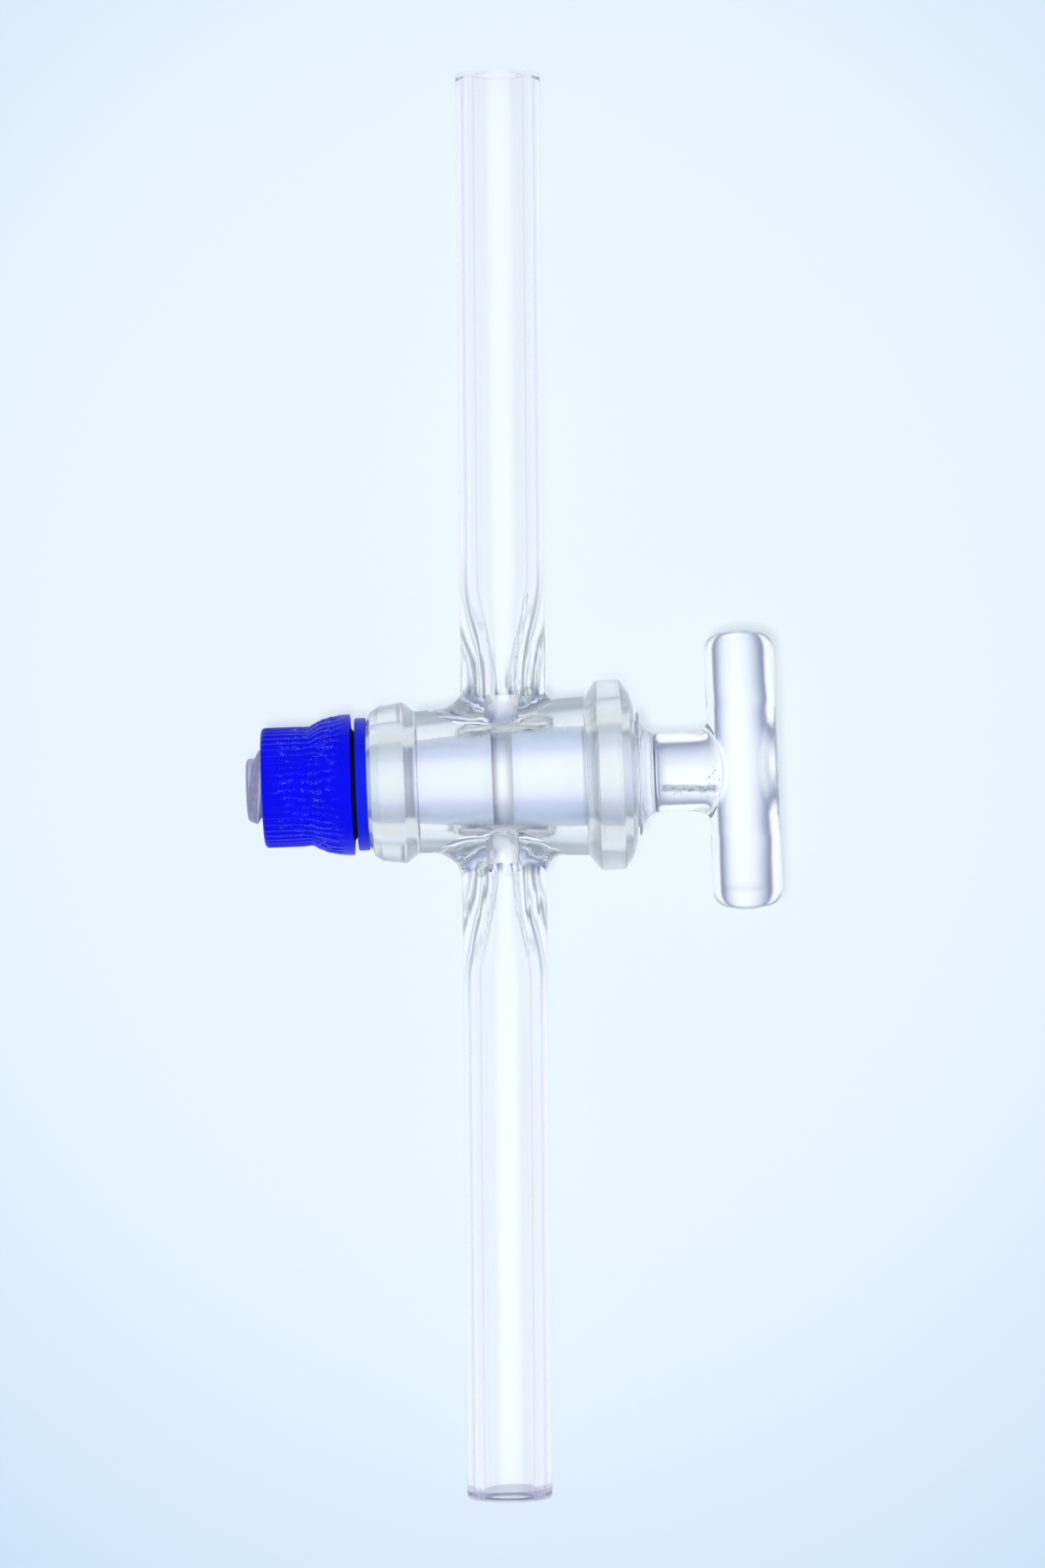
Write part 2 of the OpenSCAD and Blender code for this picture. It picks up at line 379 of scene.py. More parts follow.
@dataclass(frozen=True)
class TubeGlass(Glass):
    """Drawn tube, whose bore bends the light back again, so that its shadow is paler than a rod's.

    The painted shadow lines on its walls go by the apparent distance from the tube's axis, and the painted shade lines
    beside its root by the distance from the apparent edge of its bore's funnel, both in mm.
    """

    name: str = "tube glass"
    shadow_rim: Shade = (250, 251, 254)
    rim: Range = (0.15, 0.3)
    radius: float = 5.0
    # Painted shadow lines: the walls' own shadows as they are seen through the glass.
    walls: Stops = (
        (0.0, COLOURLESS), (1.9, COLOURLESS), (2.4, (245, 247, 254)), (2.8, (241, 243, 254)),
        (2.95, (226, 229, 240)), (3.15, COLOURLESS), (3.95, COLOURLESS), (4.15, (222, 224, 234)),
        (4.35, COLOURLESS), (5.0, COLOURLESS),
    )
    painted_tip_shade: Shade = (188, 186, 206)
    tip_from: Range = (82.95, 83.1)
    funnel: Range = (10.8, 23.8)
    funnel_r: Range = (1.5, 2.9)
    funnel_shade_lines: Stops = (
        (-1.6, COLOURLESS), (-1.35, (196, 204, 206)), (-1.15, COLOURLESS), (-0.3, COLOURLESS),
        (-0.05, (108, 119, 119)), (0.15, (150, 160, 159)), (0.3, (246, 249, 249)), (0.5, (170, 181, 177)),
        (0.75, COLOURLESS),
    )
    funnel_shade_until: Range = (16.0, 28.0)
    sway: float = 0.4

    def dress(self, graph: Graph) -> Value:
        """Clear tube, with painted shade lines that follow the apparent edge of its bore's funnel beside the root,
        painted shadow lines along its walls, and a painted darker rim at its tip.

        Args:
            graph: The material's graph.

        Returns:
            The shader.
        """
        x, y, z = graph.place()
        out = abs(y)
        # The wall magnifies the bore by the glass's index.
        narrow, wide = (self.ior * r for r in self.funnel_r)
        edge = narrow + (wide - narrow) * graph.between(out, *self.funnel)
        sideways = self.radius * (1 - (1 - graph.lean()) ** 2) ** 0.5
        sway = graph.noise(graph.vector(x, y * 0.3, z), 0.5, 1.0)
        # Painted shade: dark lines where the funnel's edge and the walls are seen, and a darker rim at the tip.
        streaks = graph.ramp(sideways - edge + self.sway * sway - self.sway / 2, self.funnel_shade_lines)
        tint = graph.mix(graph.between(out, *self.funnel_shade_until), streaks, graph.ramp(sideways, self.walls))
        tint = graph.mix(graph.between(out, *self.tip_from), tint, linear(self.painted_tip_shade))
        return self.shader(graph, {"Base Color": tint})


@dataclass(frozen=True)
class GroundGlass(Glass):
    """Finely ground taper, with faint turning marks, and with painted shade that darkens it the more it is looked at
    aslant.
    """

    name: str = "ground glass"
    roughness: float = 0.08
    marks_per_mm: float = 2.2
    waves_round: float = 0.02
    mark_depth: float = 0.00002
    mark_roughness: float = 0.06
    # Painted shade: greyer the more the surface leans away.
    by_lean: Stops = (
        (0, COLOURLESS), (0.04, (252, 252, 254)), (0.1, (245, 246, 254)), (0.2, (228, 232, 242)),
        (0.35, (229, 235, 241)), (1, (234, 239, 243)),
    )

    def dress(self, graph: Graph) -> Value:
        """Glass with turning marks in its polish.

        Args:
            graph: The material's graph.

        Returns:
            The shader.
        """
        marks = graph.grain(self.marks_per_mm, self.waves_round, 3.0)
        return self.shader(graph, {
            "Base Color": graph.ramp(graph.lean(), self.by_lean),
            "Roughness": self.roughness + self.mark_roughness * marks,
            "Normal": graph.bump(marks, self.mark_depth),
        })


@dataclass(frozen=True)
class WallGlass(Glass):
    """The barrel's thick wall, whose glass goes duller and grey-green where it is seen edgeways."""

    name: str = "wall glass"
    by_lean: Stops = ((0, COLOURLESS), (0.18, (252, 254, 254)), (0.34, (236, 242, 242)), (1, (232, 239, 239)))
    dull: Range = (0.18, 0.45)
    dull_roughness: float = 0.24
    veil: Shade = (214, 228, 230)
    veil_share: float = 0.45

    def dress(self, graph: Graph) -> Value:
        """Clear glass, duller and greyer the more it leans.

        Args:
            graph: The material's graph.

        Returns:
            The shader.
        """
        lean = graph.lean()
        dull = graph.between(lean, *self.dull)
        sockets = {"Base Color": graph.ramp(lean, self.by_lean), "Roughness": self.dull_roughness * dull}
        return self.shader(graph, sockets, (self.veil_share * dull, self.veil))


@dataclass(frozen=True)
class HandleGlass(Glass):
    """The clear handle, with a painted shadow line along the stem below where it was melted on, and painted grey shade
    on the rims of the bar's ends where they are seen aslant.
    """

    name: str = "handle glass"
    shadow_line_shade: Shade = (140, 152, 166)
    shadow_line_x: Range = (18.0, 25.2)
    shadow_line_y: Range = (-1.75, -2.1)
    shadow_line_half: Range = (0.2, 0.6)
    shadow_line_fade: Range = (0.8, 0.6)
    shadow_line_up: Range = (0.0, 0.5)
    sway: float = 0.5
    painted_end_shade: Shade = (136, 148, 150)
    end_y: Range = (13.6, 15.4)
    end_lean: Range = (0.45, 0.8)

    def dress(self, graph: Graph) -> Value:
        """Clear glass with the painted shadow line on the stem and painted grey shade on the rims of the bar's ends.

        Args:
            graph: The material's graph.

        Returns:
            The shader.
        """
        x, y, z = graph.place()
        (start, end), (start_y, end_y) = self.shadow_line_x, self.shadow_line_y
        (narrow, wide), (fade_in, fade_out) = self.shadow_line_half, self.shadow_line_fade
        # Painted shadow: a dark line along the stem, standing in for the stem's own shadow.
        sway = self.sway * graph.noise(graph.vector(x, 0.0, 0.0), 0.8, 2.0) - self.sway / 2
        off_shadow_line = abs(y - start_y - (end_y - start_y) / (end - start) * (x - start) + sway)
        shadow_line = graph.between(off_shadow_line, wide, narrow) * graph.between(x, start, start + fade_in)
        shadow_line = shadow_line * graph.between(x, end, end - fade_out) * graph.between(z, *self.shadow_line_up)
        # Painted shade: grey on the rims of the bar's ends where they lean away.
        ends = graph.between(abs(y), *self.end_y) * graph.between(graph.lean(), *self.end_lean)
        tint = graph.mix(shadow_line, linear(self.tint), linear(self.shadow_line_shade))
        return self.shader(graph, {"Base Color": graph.mix(ends, tint, linear(self.painted_end_shade))})


@dataclass(frozen=True)
class MilkyGlass(Glass):
    """Glass that has stayed milky, so that only part of the light goes straight through."""

    shadow_rim: Shade = (236, 239, 251)
    rim: Range = (0.15, 0.3)
    clarity: float = 0.5

    def dress(self, graph: Graph) -> Value:
        """Milky glass."""
        return self.shader(graph, {"Transmission Weight": self.clarity})


@dataclass(frozen=True)
class PressedGlass(Glass):
    """The pressed thread, whose skin has stayed cloudy."""

    name: str = "pressed glass"
    tint: Shade = (250, 250, 255)
    cloud: Shade = (236, 235, 250)
    clouds_per_mm: float = 0.9
    roughness: float = 0.16
    cloud_roughness: float = 0.15
    veil: Shade = (212, 211, 238)
    veil_share: float = 0.25
    cloud_share: float = 0.2

    def dress(self, graph: Graph) -> Value:
        """Glass with a skin that is cloudier in places.

        Args:
            graph: The material's graph.

        Returns:
            The shader.
        """
        cloud = graph.noise(graph.at(), self.clouds_per_mm, 2.0)
        colour = graph.mix(cloud, linear(self.cloud), linear(self.tint))
        sockets = {"Base Color": colour, "Roughness": self.roughness + self.cloud_roughness * cloud}
        return self.shader(graph, sockets, (self.veil_share + self.cloud_share * cloud, self.veil))


@dataclass(frozen=True)
class Mottled(Finish):
    """An opaque finish that drifts between two shades."""

    name: str
    low: Shade
    high: Shade
    waves_per_mm: float
    detail: float
    roughness: float
    drift_roughness: float = 0.0

    def dress(self, graph: Graph) -> Value:
        """Mixes the two shades by soft noise.

        Args:
            graph: The material's graph.

        Returns:
            The shader.
        """
        drift = graph.noise(graph.at(), self.waves_per_mm, self.detail)
        roughness = self.roughness + self.drift_roughness * drift if self.drift_roughness else self.roughness
        colour = graph.mix(drift, linear(self.low), linear(self.high))
        return graph.opaque({"Base Color": colour, "Roughness": roughness})


@dataclass(frozen=True)
class Plastic(Finish):
    """Moulded plastic with a fine satin grain, and with painted glints: paler specks in rows where it is ribbed."""

    name: str = "nut plastic"
    deep: Shade = (3, 4, 222)
    bright: Shade = (5, 9, 255)
    clouds_per_mm: float = 0.35
    roughness: float = 0.3
    grain_roughness: float = 0.12
    shine: float = 0.15
    grain_per_mm: float = 6.0
    grain_depth: float = 0.00001
    # Painted glints: paler colour in place of highlights on the ribs.
    glint: Shade = (136, 156, 255)
    glint_most: float = 0.8
    glint_level: Range = (0.89, 1.0)
    glint_x: Range = (-27.4, -20.4)
    glint_fade: Range = (2.5, 1.5)
    rib_count: int = 48
    rib_bend: float = 9.0
    rib_weight: float = 0.16
    patch_weight: float = 0.3
    bend_grain: tuple[float, float, float] = (0.35, 0.3, 1.0)
    speck_grain: tuple[float, float, float] = (6.5, 8.0, 2.0)
    patch_grain: tuple[float, float, float] = (0.8, 0.5, 1.0)

    def glints(self, graph: Graph) -> Value:
        """Scatters painted glints, paler specks in rows along the ribs.

        Args:
            graph: The plastic's graph.

        Returns:
            How pale the plastic is there, from 0 to 1.
        """
        x, y, z = graph.place()
        bend = graph.grain(*self.bend_grain)
        ribs = graph.math("SINE", self.rib_count * graph.math("ARCTAN2", z, y) + self.rib_bend * bend)
        specks, patches = graph.grain(*self.speck_grain), graph.grain(*self.patch_grain)
        level = specks + self.rib_weight * (0.5 + 0.5 * ribs) + self.patch_weight * patches
        (start, end), (fade_in, fade_out) = self.glint_x, self.glint_fade
        near = graph.between(x, start, start + fade_in)
        return self.glint_most * graph.between(level, *self.glint_level) * near * graph.between(x, end + fade_out, end)

    def dress(self, graph: Graph) -> Value:
        """Plastic whose colour and polish vary a little with its grain.

        Args:
            graph: The material's graph.

        Returns:
            The shader.
        """
        at = graph.at()
        grain = graph.noise(at, self.grain_per_mm, 3.0)
        cloud = graph.noise(at, self.clouds_per_mm, 2.0)
        colour = graph.mix(cloud, linear(self.deep), linear(self.bright))
        return graph.opaque({
            "Base Color": graph.mix(self.glints(graph), colour, linear(self.glint)),
            "Roughness": self.roughness + self.grain_roughness * grain,
            "Specular IOR Level": self.shine,
            "Normal": graph.bump(grain, self.grain_depth),
        })


class Part(Enum):
    """The kinds of surface that a glass piece has, each with its finish."""

    CLEAR = Glass()
    GROUND = GroundGlass()
    TUBE = TubeGlass()
    BORE = Glass("bore glass", shadow_rim=WHITE)
    THREAD = PressedGlass()
    # The bubbles are real hollows; their pale opaque colour is a painted glint, in place of the light that a bubble in
    # glass throws back.
    BUBBLE = Mottled("fine bubble", (206, 214, 222), (250, 252, 254), 2.0, 0.0, 0.4)
    SEED = Mottled("frosted seed", (178, 194, 192), (222, 230, 228), 2.6, 3.0, 0.5)
    WALL = WallGlass()
    MILKY = MilkyGlass("milky glass", (250, 250, 250), 0.3)
    HANDLE = HandleGlass()
    BEAD = MilkyGlass("bead glass", (247, 250, 246), 0.14, clarity=0.78)
    DRILLED = MilkyGlass("drilled glass", (252, 252, 248), 0.08)


GLASSES = tuple(part.value for part in Part)
SLOTS = {part: number for number, part in enumerate(Part)}


# ---------------------------------------------------------------- meshes


def around(columns: int) -> np.ndarray:
    """Angles of evenly spaced points round a full turn."""
    return np.arange(columns) * FULL_TURN / columns


def along(low: float, high: float, steps: int) -> np.ndarray:
    """Evenly spaced places from low to high."""
    return np.linspace(low, high, steps + 1)


class Skin:
    """Points and faces of one closed surface."""

    weld = 0.002
    hollow = (SLOTS[Part.BUBBLE], SLOTS[Part.SEED])
    smooth_ball = np.zeros((5, 8))

    def __init__(self) -> None:
        """Starts with nothing."""
        self.points: list[np.ndarray] = []
        self.faces: list[tuple[int, ...]] = []
        self.slots: list[int] = []
        self.part = Part.CLEAR
        self.count = 0

    def ring(self, points: np.ndarray) -> np.ndarray:
        """Adds points.

        Args:
            points: One row of X, Y and Z for each point.

        Returns:
            Their numbers.
        """
        self.points.append(points)
        self.count += len(points)
        return np.arange(self.count - len(points), self.count)

    def face(self, *corners: int) -> None:
        """Adds one face of the part that is being made."""
        self.faces.append(tuple(int(corner) for corner in corners))
        self.slots.append(SLOTS[self.part])

    def bridge(self, first: np.ndarray, second: np.ndarray) -> None:
        """Joins two closed rings of the same count with a band of faces."""
        for a, b, c, d in zip(first, np.roll(first, -1), np.roll(second, -1), second):
            self.face(a, b, c, d)

    def loft(self, rings: Sequence[np.ndarray], start: np.ndarray | None = None) -> np.ndarray:
        """Joins rings one after another.

        Args:
            rings: The rings' points.
            start: Numbers of a ring that is already there, to join the first one to.

        Returns:
            The last ring's numbers.
        """
        last = start
        for points in rings:
            numbers = self.ring(points)
            if last is not None:
                self.bridge(last, numbers)
            last = numbers
        return last

    def close(self, ring: np.ndarray, tip: Sequence[float]) -> None:
        """Closes a ring with a fan of faces to one point.

        Args:
            ring: The ring's numbers.
            tip: The point.
        """
        centre = self.ring(np.array([tip], float))[0]
        for a, b in zip(ring, np.roll(ring, -1)):
            self.face(a, b, centre)

    def bubble(self, centre: Sequence[float], reach: Sequence[float], lumps: np.ndarray = smooth_ball) -> None:
        """Leaves a closed hollow in the glass.

        Args:
            centre: Its middle.
            reach: How far it goes along each axis.
            lumps: How much each of its points stands out, as a share, in rows from its top down.
        """
        centre, reach = np.asarray(centre), np.asarray(reach)
        turn = around(lumps.shape[1])
        rings = []
        for tilt, lump in zip(along(0, pi, len(lumps) + 1)[1:-1], lumps):
            ball = np.stack([sin(tilt) * np.cos(turn), sin(tilt) * np.sin(turn), np.full(len(turn), cos(tilt))], 1)
            rings.append(centre + ball * reach * (1 + lump)[:, None])
        tip = reach * [0, 0, 1]
        first = self.ring(rings[0])
        self.close(first, centre + tip)
        self.close(self.loft(rings[1:], first), centre - tip)

    def build(self, name: str, finishes: Sequence[Finish], body: str, node: str) -> bpy.types.Object:
        """Makes the piece in place of its CAD node.

        Args:
            name: The name of the piece.
            finishes: One finish for each kind of surface.
            body: The body that it moves with.
            node: The CAD node that it stands for.

        Returns:
            The piece.
        """
        mesh = bpy.data.meshes.new(name)
        mesh.from_pydata((np.concatenate(self.points) * MM + KEY_CENTRE).tolist(), [], self.faces)
        for finish in finishes:
            mesh.materials.append(finish.material())
        mesh.polygons.foreach_set("material_index", self.slots)
        shape = bmesh.new()
        shape.from_mesh(mesh)
        bmesh.ops.delete(shape, geom=[v for v in shape.verts if not v.link_faces], context="VERTS")
        bmesh.ops.remove_doubles(shape, verts=shape.verts, dist=self.weld * MM)
        bmesh.ops.recalc_face_normals(shape, faces=shape.faces)
        hollow = [face for face in shape.faces if face.material_index in self.hollow]
        bmesh.ops.reverse_faces(shape, faces=hollow)
        for face in shape.faces:
            face.smooth = True
        open_edges = sum(not edge.is_manifold for edge in shape.edges)
        shape.to_mesh(mesh)
        shape.free()
        piece = bpy.data.objects.new(name, mesh)
        bpy.context.scene.collection.objects.link(piece)
        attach(piece, body)
        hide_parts(node)
        LOG.info("%s: %d faces, %d open edges", name, len(mesh.polygons), open_edges)
        return piece


def turned_ring(x: float, radius: np.ndarray | float, columns: int) -> np.ndarray:
    """Makes a ring round the key's axis.

    Args:
        x: Its place along the key.
        radius: Its radius, or one radius for each point.
        columns: How many points it has.

    Returns:
        Its points.
    """
    angle = around(columns)
    return np.stack([np.full(columns, x), radius * np.cos(angle), radius * np.sin(angle)], 1)


def turned(profile: Profile, columns: int) -> list[np.ndarray]:
    """Turns a profile round the key's axis into rings."""
    return [turned_ring(x, r, columns) for x, r in profile]


def beside(side: int, radius: Radius) -> Surface:
    """Measures places on a turned surface from one side of it.

    Args:
        side: 1 for the side of the upper arm and -1 for that of the lower arm.
        radius: The surface's radius at places along the key.

    Returns:
        What gives the points at places along the key and angles from the middle of that side.
    """
    def surface(x: np.ndarray, angle: np.ndarray) -> np.ndarray:
        """Gives the points."""
        return np.stack([x, side * radius(x) * np.cos(angle), radius(x) * np.sin(angle)], 1)

    return surface


def rounded(corners: Sequence[tuple[float, float, float]], steps: int = 4) -> Profile:
    """Follows a line of corners, each bent to its own radius.

    A point a little way before and after each bend keeps the straight stretches flat where they are shaded.

    Args:
        corners: The two coordinates and the radius of each corner. The first and last stay as they are.
        steps: How many faces each bend has.

    Returns:
        The line's points.
    """
    places = [np.array(corner[:2], float) for corner in corners]
    line = [places[0]]
    for before, corner, after, (_, _, radius) in zip(places, places[1:], places[2:], corners[1:]):
        back, on = before - corner, after - corner
        back_l, on_l = np.hypot(*back), np.hypot(*on)
        back, on = back / back_l, on / on_l
        half_angle = np.arccos(np.clip(back @ on, -1, 1)) / 2
        reach = min(radius / tan(half_angle), 0.45 * back_l, 0.45 * on_l)
        spare = min(0.4 * reach, 0.04 * back_l, 0.04 * on_l) if radius else 0.0
        line.append(corner + back * (reach + spare))
        for share in along(0, 1, steps):
            line.append(corner + back * reach * (1 - share) ** 2 + on * reach * share**2)
        line.append(corner + on * (reach + spare))
    line.append(places[-1])
    return [(float(x), float(r)) for x, r in line]


def curve(a: np.ndarray, b: np.ndarray, c: np.ndarray, d: np.ndarray, steps: int) -> list[np.ndarray]:
    """Follows one Bezier curve for each point of a ring.

    Args:
        a: Where the curves start.
        b: The handles of their starts.
        c: The handles of their ends.
        d: Where they end.
        steps: How many rings there are after the start.

    Returns:
        The rings after the start, the end included.
    """
    return [
        (1 - t) ** 3 * a + 3 * (1 - t) ** 2 * t * b + 3 * (1 - t) * t**2 * c + t**3 * d for t in along(0, 1, steps)[1:]
    ]


@dataclass(frozen=True)
class Window:
    """A stretch of a net of rings that is left open for what joins or pierces it there."""

    first_row: int
    last_row: int
    middle: int
    half: int
    step: int = 1

    def loop(self) -> list[tuple[int, int]]:
        """Walks round the window.

        Returns:
            The row, and the columns from the middle, of each point. The walk starts in the middle of the last
            row and turns towards the higher columns.
        """
        low, high, half = self.first_row, self.last_row, self.half
        walk = [(high, k) for k in range(half)] + [(row, half) for row in range(high, low, -1)]
        walk += [(low, k) for k in range(half, -half, -1)] + [(row, -half) for row in range(low, high)]
        return walk + [(high, k) for k in range(-half, 0)]


@dataclass(frozen=True)
class Pierced:
    """Where a turned surface has a window on each side, for the arms or the cross bore."""

    half_l: float
    rows: int
    half: int
    columns: int

    def cut(self, before: Profile, after: Profile, radius: Radius) -> tuple[Profile, list[Window]]:
        """Joins the profiles of a surface's two ends by the stretch with the windows.

        Args:
            before: The profile towards -X of the windows, ending at their edge.
            after: The profile towards +X of them, starting at their edge.
            radius: The surface's radius at places along the windows.

        Returns:
            The whole profile, and the windows of the upper and the lower side.
        """
        stretch = [(float(x), float(radius(x))) for x in along(-self.half_l, self.half_l, self.rows)]
        first = len(before) - 1
        windows = [
            Window(first, first + self.rows, middle, self.half, step)
            for middle, step in ((0, 1), (self.columns // 2, -1))
        ]
        return before[:-1] + stretch + after[1:], windows


class Net:
    """Rings joined into a surface, with windows in it."""

    def __init__(
        self, skin: Skin, places: Sequence[float], rings: Sequence[np.ndarray], windows: Sequence[Window]
    ) -> None:
        """Adds the rings and every face outside the windows.

        Args:
            skin: The skin that it is part of.
            places: The place of each ring along the net's axis.
            rings: The rings' points.
            windows: The windows.
        """
        self.skin = skin
        self.places = np.array(places)
        self.windows = windows
        self.rows = [skin.ring(points) for points in rings]
        self.columns = len(rings[0])
        left_open = {
            (row, (window.middle + k) % self.columns)
            for window in windows
            for row in range(window.first_row, window.last_row)
            for k in range(-window.half, window.half)
        }
        for row, (here, there) in enumerate(zip(self.rows, self.rows[1:])):
            for k in range(self.columns):
                if (row, k) not in left_open:
                    on = (k + 1) % self.columns
                    skin.face(here[k], here[on], there[on], there[k])

    def fill(
        self, window: Window, hole: tuple[np.ndarray, np.ndarray], surface: Surface, steps: int, crowd: float
    ) -> np.ndarray:
        """Carries the surface from a window's edge to the hole in it.

        Args:
            window: One of the net's windows.
            hole: The hole's place along the axis and angle from the window's middle, point by point.
            surface: Gives the points of the surface at places and angles.
            steps: How many rings there are on the way to the hole.
            crowd: How much closer together they lie near the hole. 1 spaces them evenly.

        Returns:
            The numbers of the ring at the hole.
        """
        loop = window.loop()
        numbers = np.array([self.rows[row][(window.middle + window.step * k) % self.columns] for row, k in loop])
        start = self.places[[row for row, _ in loop]]
        angles = np.array([k for _, k in loop]) * FULL_TURN / self.columns
        rings = [
            surface(start + (hole[0] - start) * share, angles + (hole[1] - angles) * share)
            for share in 1 - along(1, 0, steps)[1:] ** crowd
        ]
        return self.skin.loft(rings, numbers)


class Grain:
    """Smooth noise on a net of seeded numbers that closes round an axis."""

    def __init__(self, seed: int, cells_round: int, cells_along: int) -> None:
        """Draws the numbers."""
        self.levels = np.random.RandomState(seed).uniform(-1, 1, (cells_along, cells_round))

    def at(self, place: float, angle: np.ndarray) -> np.ndarray:
        """Reads the noise.

        Args:
            place: The place along the axis, in cells.
            angle: The angles round it, in radians.

        Returns:
            A level from -1 to 1 at each angle.
        """
        cells_along, cells_round = self.levels.shape
        column = (angle / FULL_TURN * cells_round) % cells_round
        left = column.astype(int) % cells_round
        right = (left + 1) % cells_round
        across, down = ease(column - column.astype(int)), ease(place - np.floor(place))
        row = int(np.floor(place)) % cells_along
        above, below = self.levels[row], self.levels[(row + 1) % cells_along]
        return (
            (above[left] * (1 - across) + above[right] * across) * (1 - down)
            + (below[left] * (1 - across) + below[right] * across) * down
        )


# ---------------------------------------------------------------- barrel


@dataclass(frozen=True)
class Taper:
    """The 1:10 taper that the key and its socket share."""

    large_r: float = 6.25
    large_x: float = 15.4
    slope: float = 0.05
    gap: float = 0.03

    def key_r(self, x: np.ndarray | float) -> np.ndarray | float:
        """The key's radius."""
        return self.large_r - (self.large_x - x) * self.slope

    def socket_r(self, x: np.ndarray | float) -> np.ndarray | float:
        """The socket's radius."""
        return self.key_r(x) + self.gap


@dataclass
class Arm:
    """One tube arm, melted onto the barrel's wall."""

    side: int
    length: float
    radius: float = 5.0
    bore_r: float = 2.9
    neck_r: float = 1.5
    neck_start: float = 10.8
    neck_l: float = 13.0
    mouth_round: float = 0.3
    spread_left: float = 3.4
    spread_right: float = 2.2
    spread_front: float = 1.6
    rise_left: float = 3.3
    rise_right: float = 2.3
    rise_front: float = 2.6
    fillet: float = 0.6
    tip_l: float = 4.0
    tip_round: float = 0.6
    lip_round: float = 0.35
    straight_from: float = 17.0
    points: int = 160
    lean: float = 0.0
    ripple_h: float = 0.12
    mark_h: float = 0.035
    streak_h: float = 0.03

    def __post_init__(self) -> None:
        """Works out the arm's own axes and draws the marks of the flame."""
        self.turn = around(self.points)
        self.axis = self.side * np.array([sin(self.lean), cos(self.lean), 0])
        self.right = np.array([cos(self.lean), -sin(self.lean), 0])
        self.up = np.array([0, 0, 1])
        self.ripple = Grain(20 + self.side, 34, 5)
        self.fine_ripple = Grain(30 + self.side, 56, 7)
        self.draw_marks = Grain(40 + self.side, 5, 61)
        self.streaks = Grain(50 + self.side, 52, 4)

    def at(self, out: np.ndarray | float, radius: np.ndarray | float) -> np.ndarray:
        """Makes a ring round the arm.

        Args:
            out: Its distance along the arm, or one for each point.
            radius: Its radius, or one for each point.

        Returns:
            Its points.
        """
        sideways, upwards = radius * np.cos(self.turn), radius * np.sin(self.turn)
        out = out * np.ones(self.points)
        return np.outer(out, self.axis) + np.outer(sideways, self.right) + np.outer(upwards, self.up)

    def meets(self, radius: float, wall: Radius) -> np.ndarray:
        """Finds where lines along the arm come out of a turned wall.

        Args:
            radius: The lines' distance from the arm's axis.
            wall: The wall's radius at places along the key.

        Returns:
            The distance along the arm, for each point of a ring.
        """
        low, high = np.zeros(self.points), np.full(self.points, 3 * self.radius)
        for _ in range(40):
            middle = (low + high) / 2
            x, y, z = self.at(middle, radius).T
            inside = np.hypot(y, z) < wall(x)
            low, high = np.where(inside, middle, low), np.where(inside, high, middle)
        return low

    def by_side(self, left: float, right: float, front: float) -> np.ndarray:
        """Varies a size smoothly round the arm.

        Args:
            left: The size towards -X.
            right: The size towards +X.
            front: The size towards the top and the bottom.

        Returns:
            The size at each point of a ring.
        """
        sideways = np.cos(self.turn)
        return front + (np.where(sideways > 0, right, left) - front) * sideways**2

    def foot(self, wall: Radius) -> tuple[np.ndarray, np.ndarray]:
        """Finds the edge of the melted root on the wall.

        Args:
            wall: The wall's radius at places along the key.

        Returns:
            The place along the key and the angle from the arm, for each point of a ring.
        """
        spread = self.radius + self.by_side(self.spread_left, self.spread_right, self.spread_front)
        corner = self.at(self.meets(self.radius, wall), self.radius)
        x = corner[:, 0] + (spread - self.radius) * np.cos(self.turn)
        return x, np.arcsin(spread * np.sin(self.turn) / wall(x))

    def root(self, wall: Radius, foot: np.ndarray) -> tuple[list[np.ndarray], list[np.ndarray]]:
        """Makes the melted root, from the wall up to the tube.

        Args:
            wall: The wall's radius at places along the key.
            foot: The root's edge on the wall.

        Returns:
            The root's rings after the edge, and those of the first stretch of tube.
        """
        corner_out = self.meets(self.radius, wall)
        corner = self.at(corner_out, self.radius)
        top_out = corner_out + self.by_side(self.rise_left, self.rise_right, self.rise_front)
        top = self.at(top_out, self.radius)
        outwards = foot * [0, 1, 1]
        outwards /= np.linalg.norm(outwards, axis=1)[:, None]
        inwards = corner - foot
        inwards -= outwards * np.sum(inwards * outwards, axis=1)[:, None]
        rings = curve(foot, foot + self.fillet * inwards, top + self.fillet * (corner - top), top, 20)
        out_of_fillet = (foot + top) / 2 - corner
        out_of_fillet /= np.linalg.norm(out_of_fillet, axis=1)[:, None]
        for number, share in enumerate(along(0, 1, len(rings))[1:]):
            wave = self.ripple.at(share * 2.4, self.turn) + 0.5 * self.fine_ripple.at(share * 4.1, self.turn)
            rings[number] = rings[number] + out_of_fillet * (self.ripple_h * sin(pi * share) * wave)[:, None]
        straight = []
        for share in along(0, 1, 14)[1:]:
            streak = self.streak_h * sin(pi * share) * self.streaks.at(share * 1.3, self.turn)
            out = top_out + (self.straight_from - top_out) * share
            straight.append(self.at(out, self.radius - self.streak_h + streak))
        return rings, straight

    def outside(self) -> list[np.ndarray]:
        """Makes the tube's outside, out to its fire-polished tip and over it.

        Returns:
            The rings.
        """
        length, tip_x = self.length, self.length - self.tip_l
        tip = rounded([
            (tip_x, self.radius, 0), (length, self.radius, self.tip_round),
            (length, self.bore_r, self.lip_round), (tip_x, self.bore_r, 0),
        ], 6)
        rings = [(out, self.radius) for out in along(self.straight_from, tip_x, 14)[1:]] + tip[1:-1]
        return [self.at(out, r) for out, r in rings]

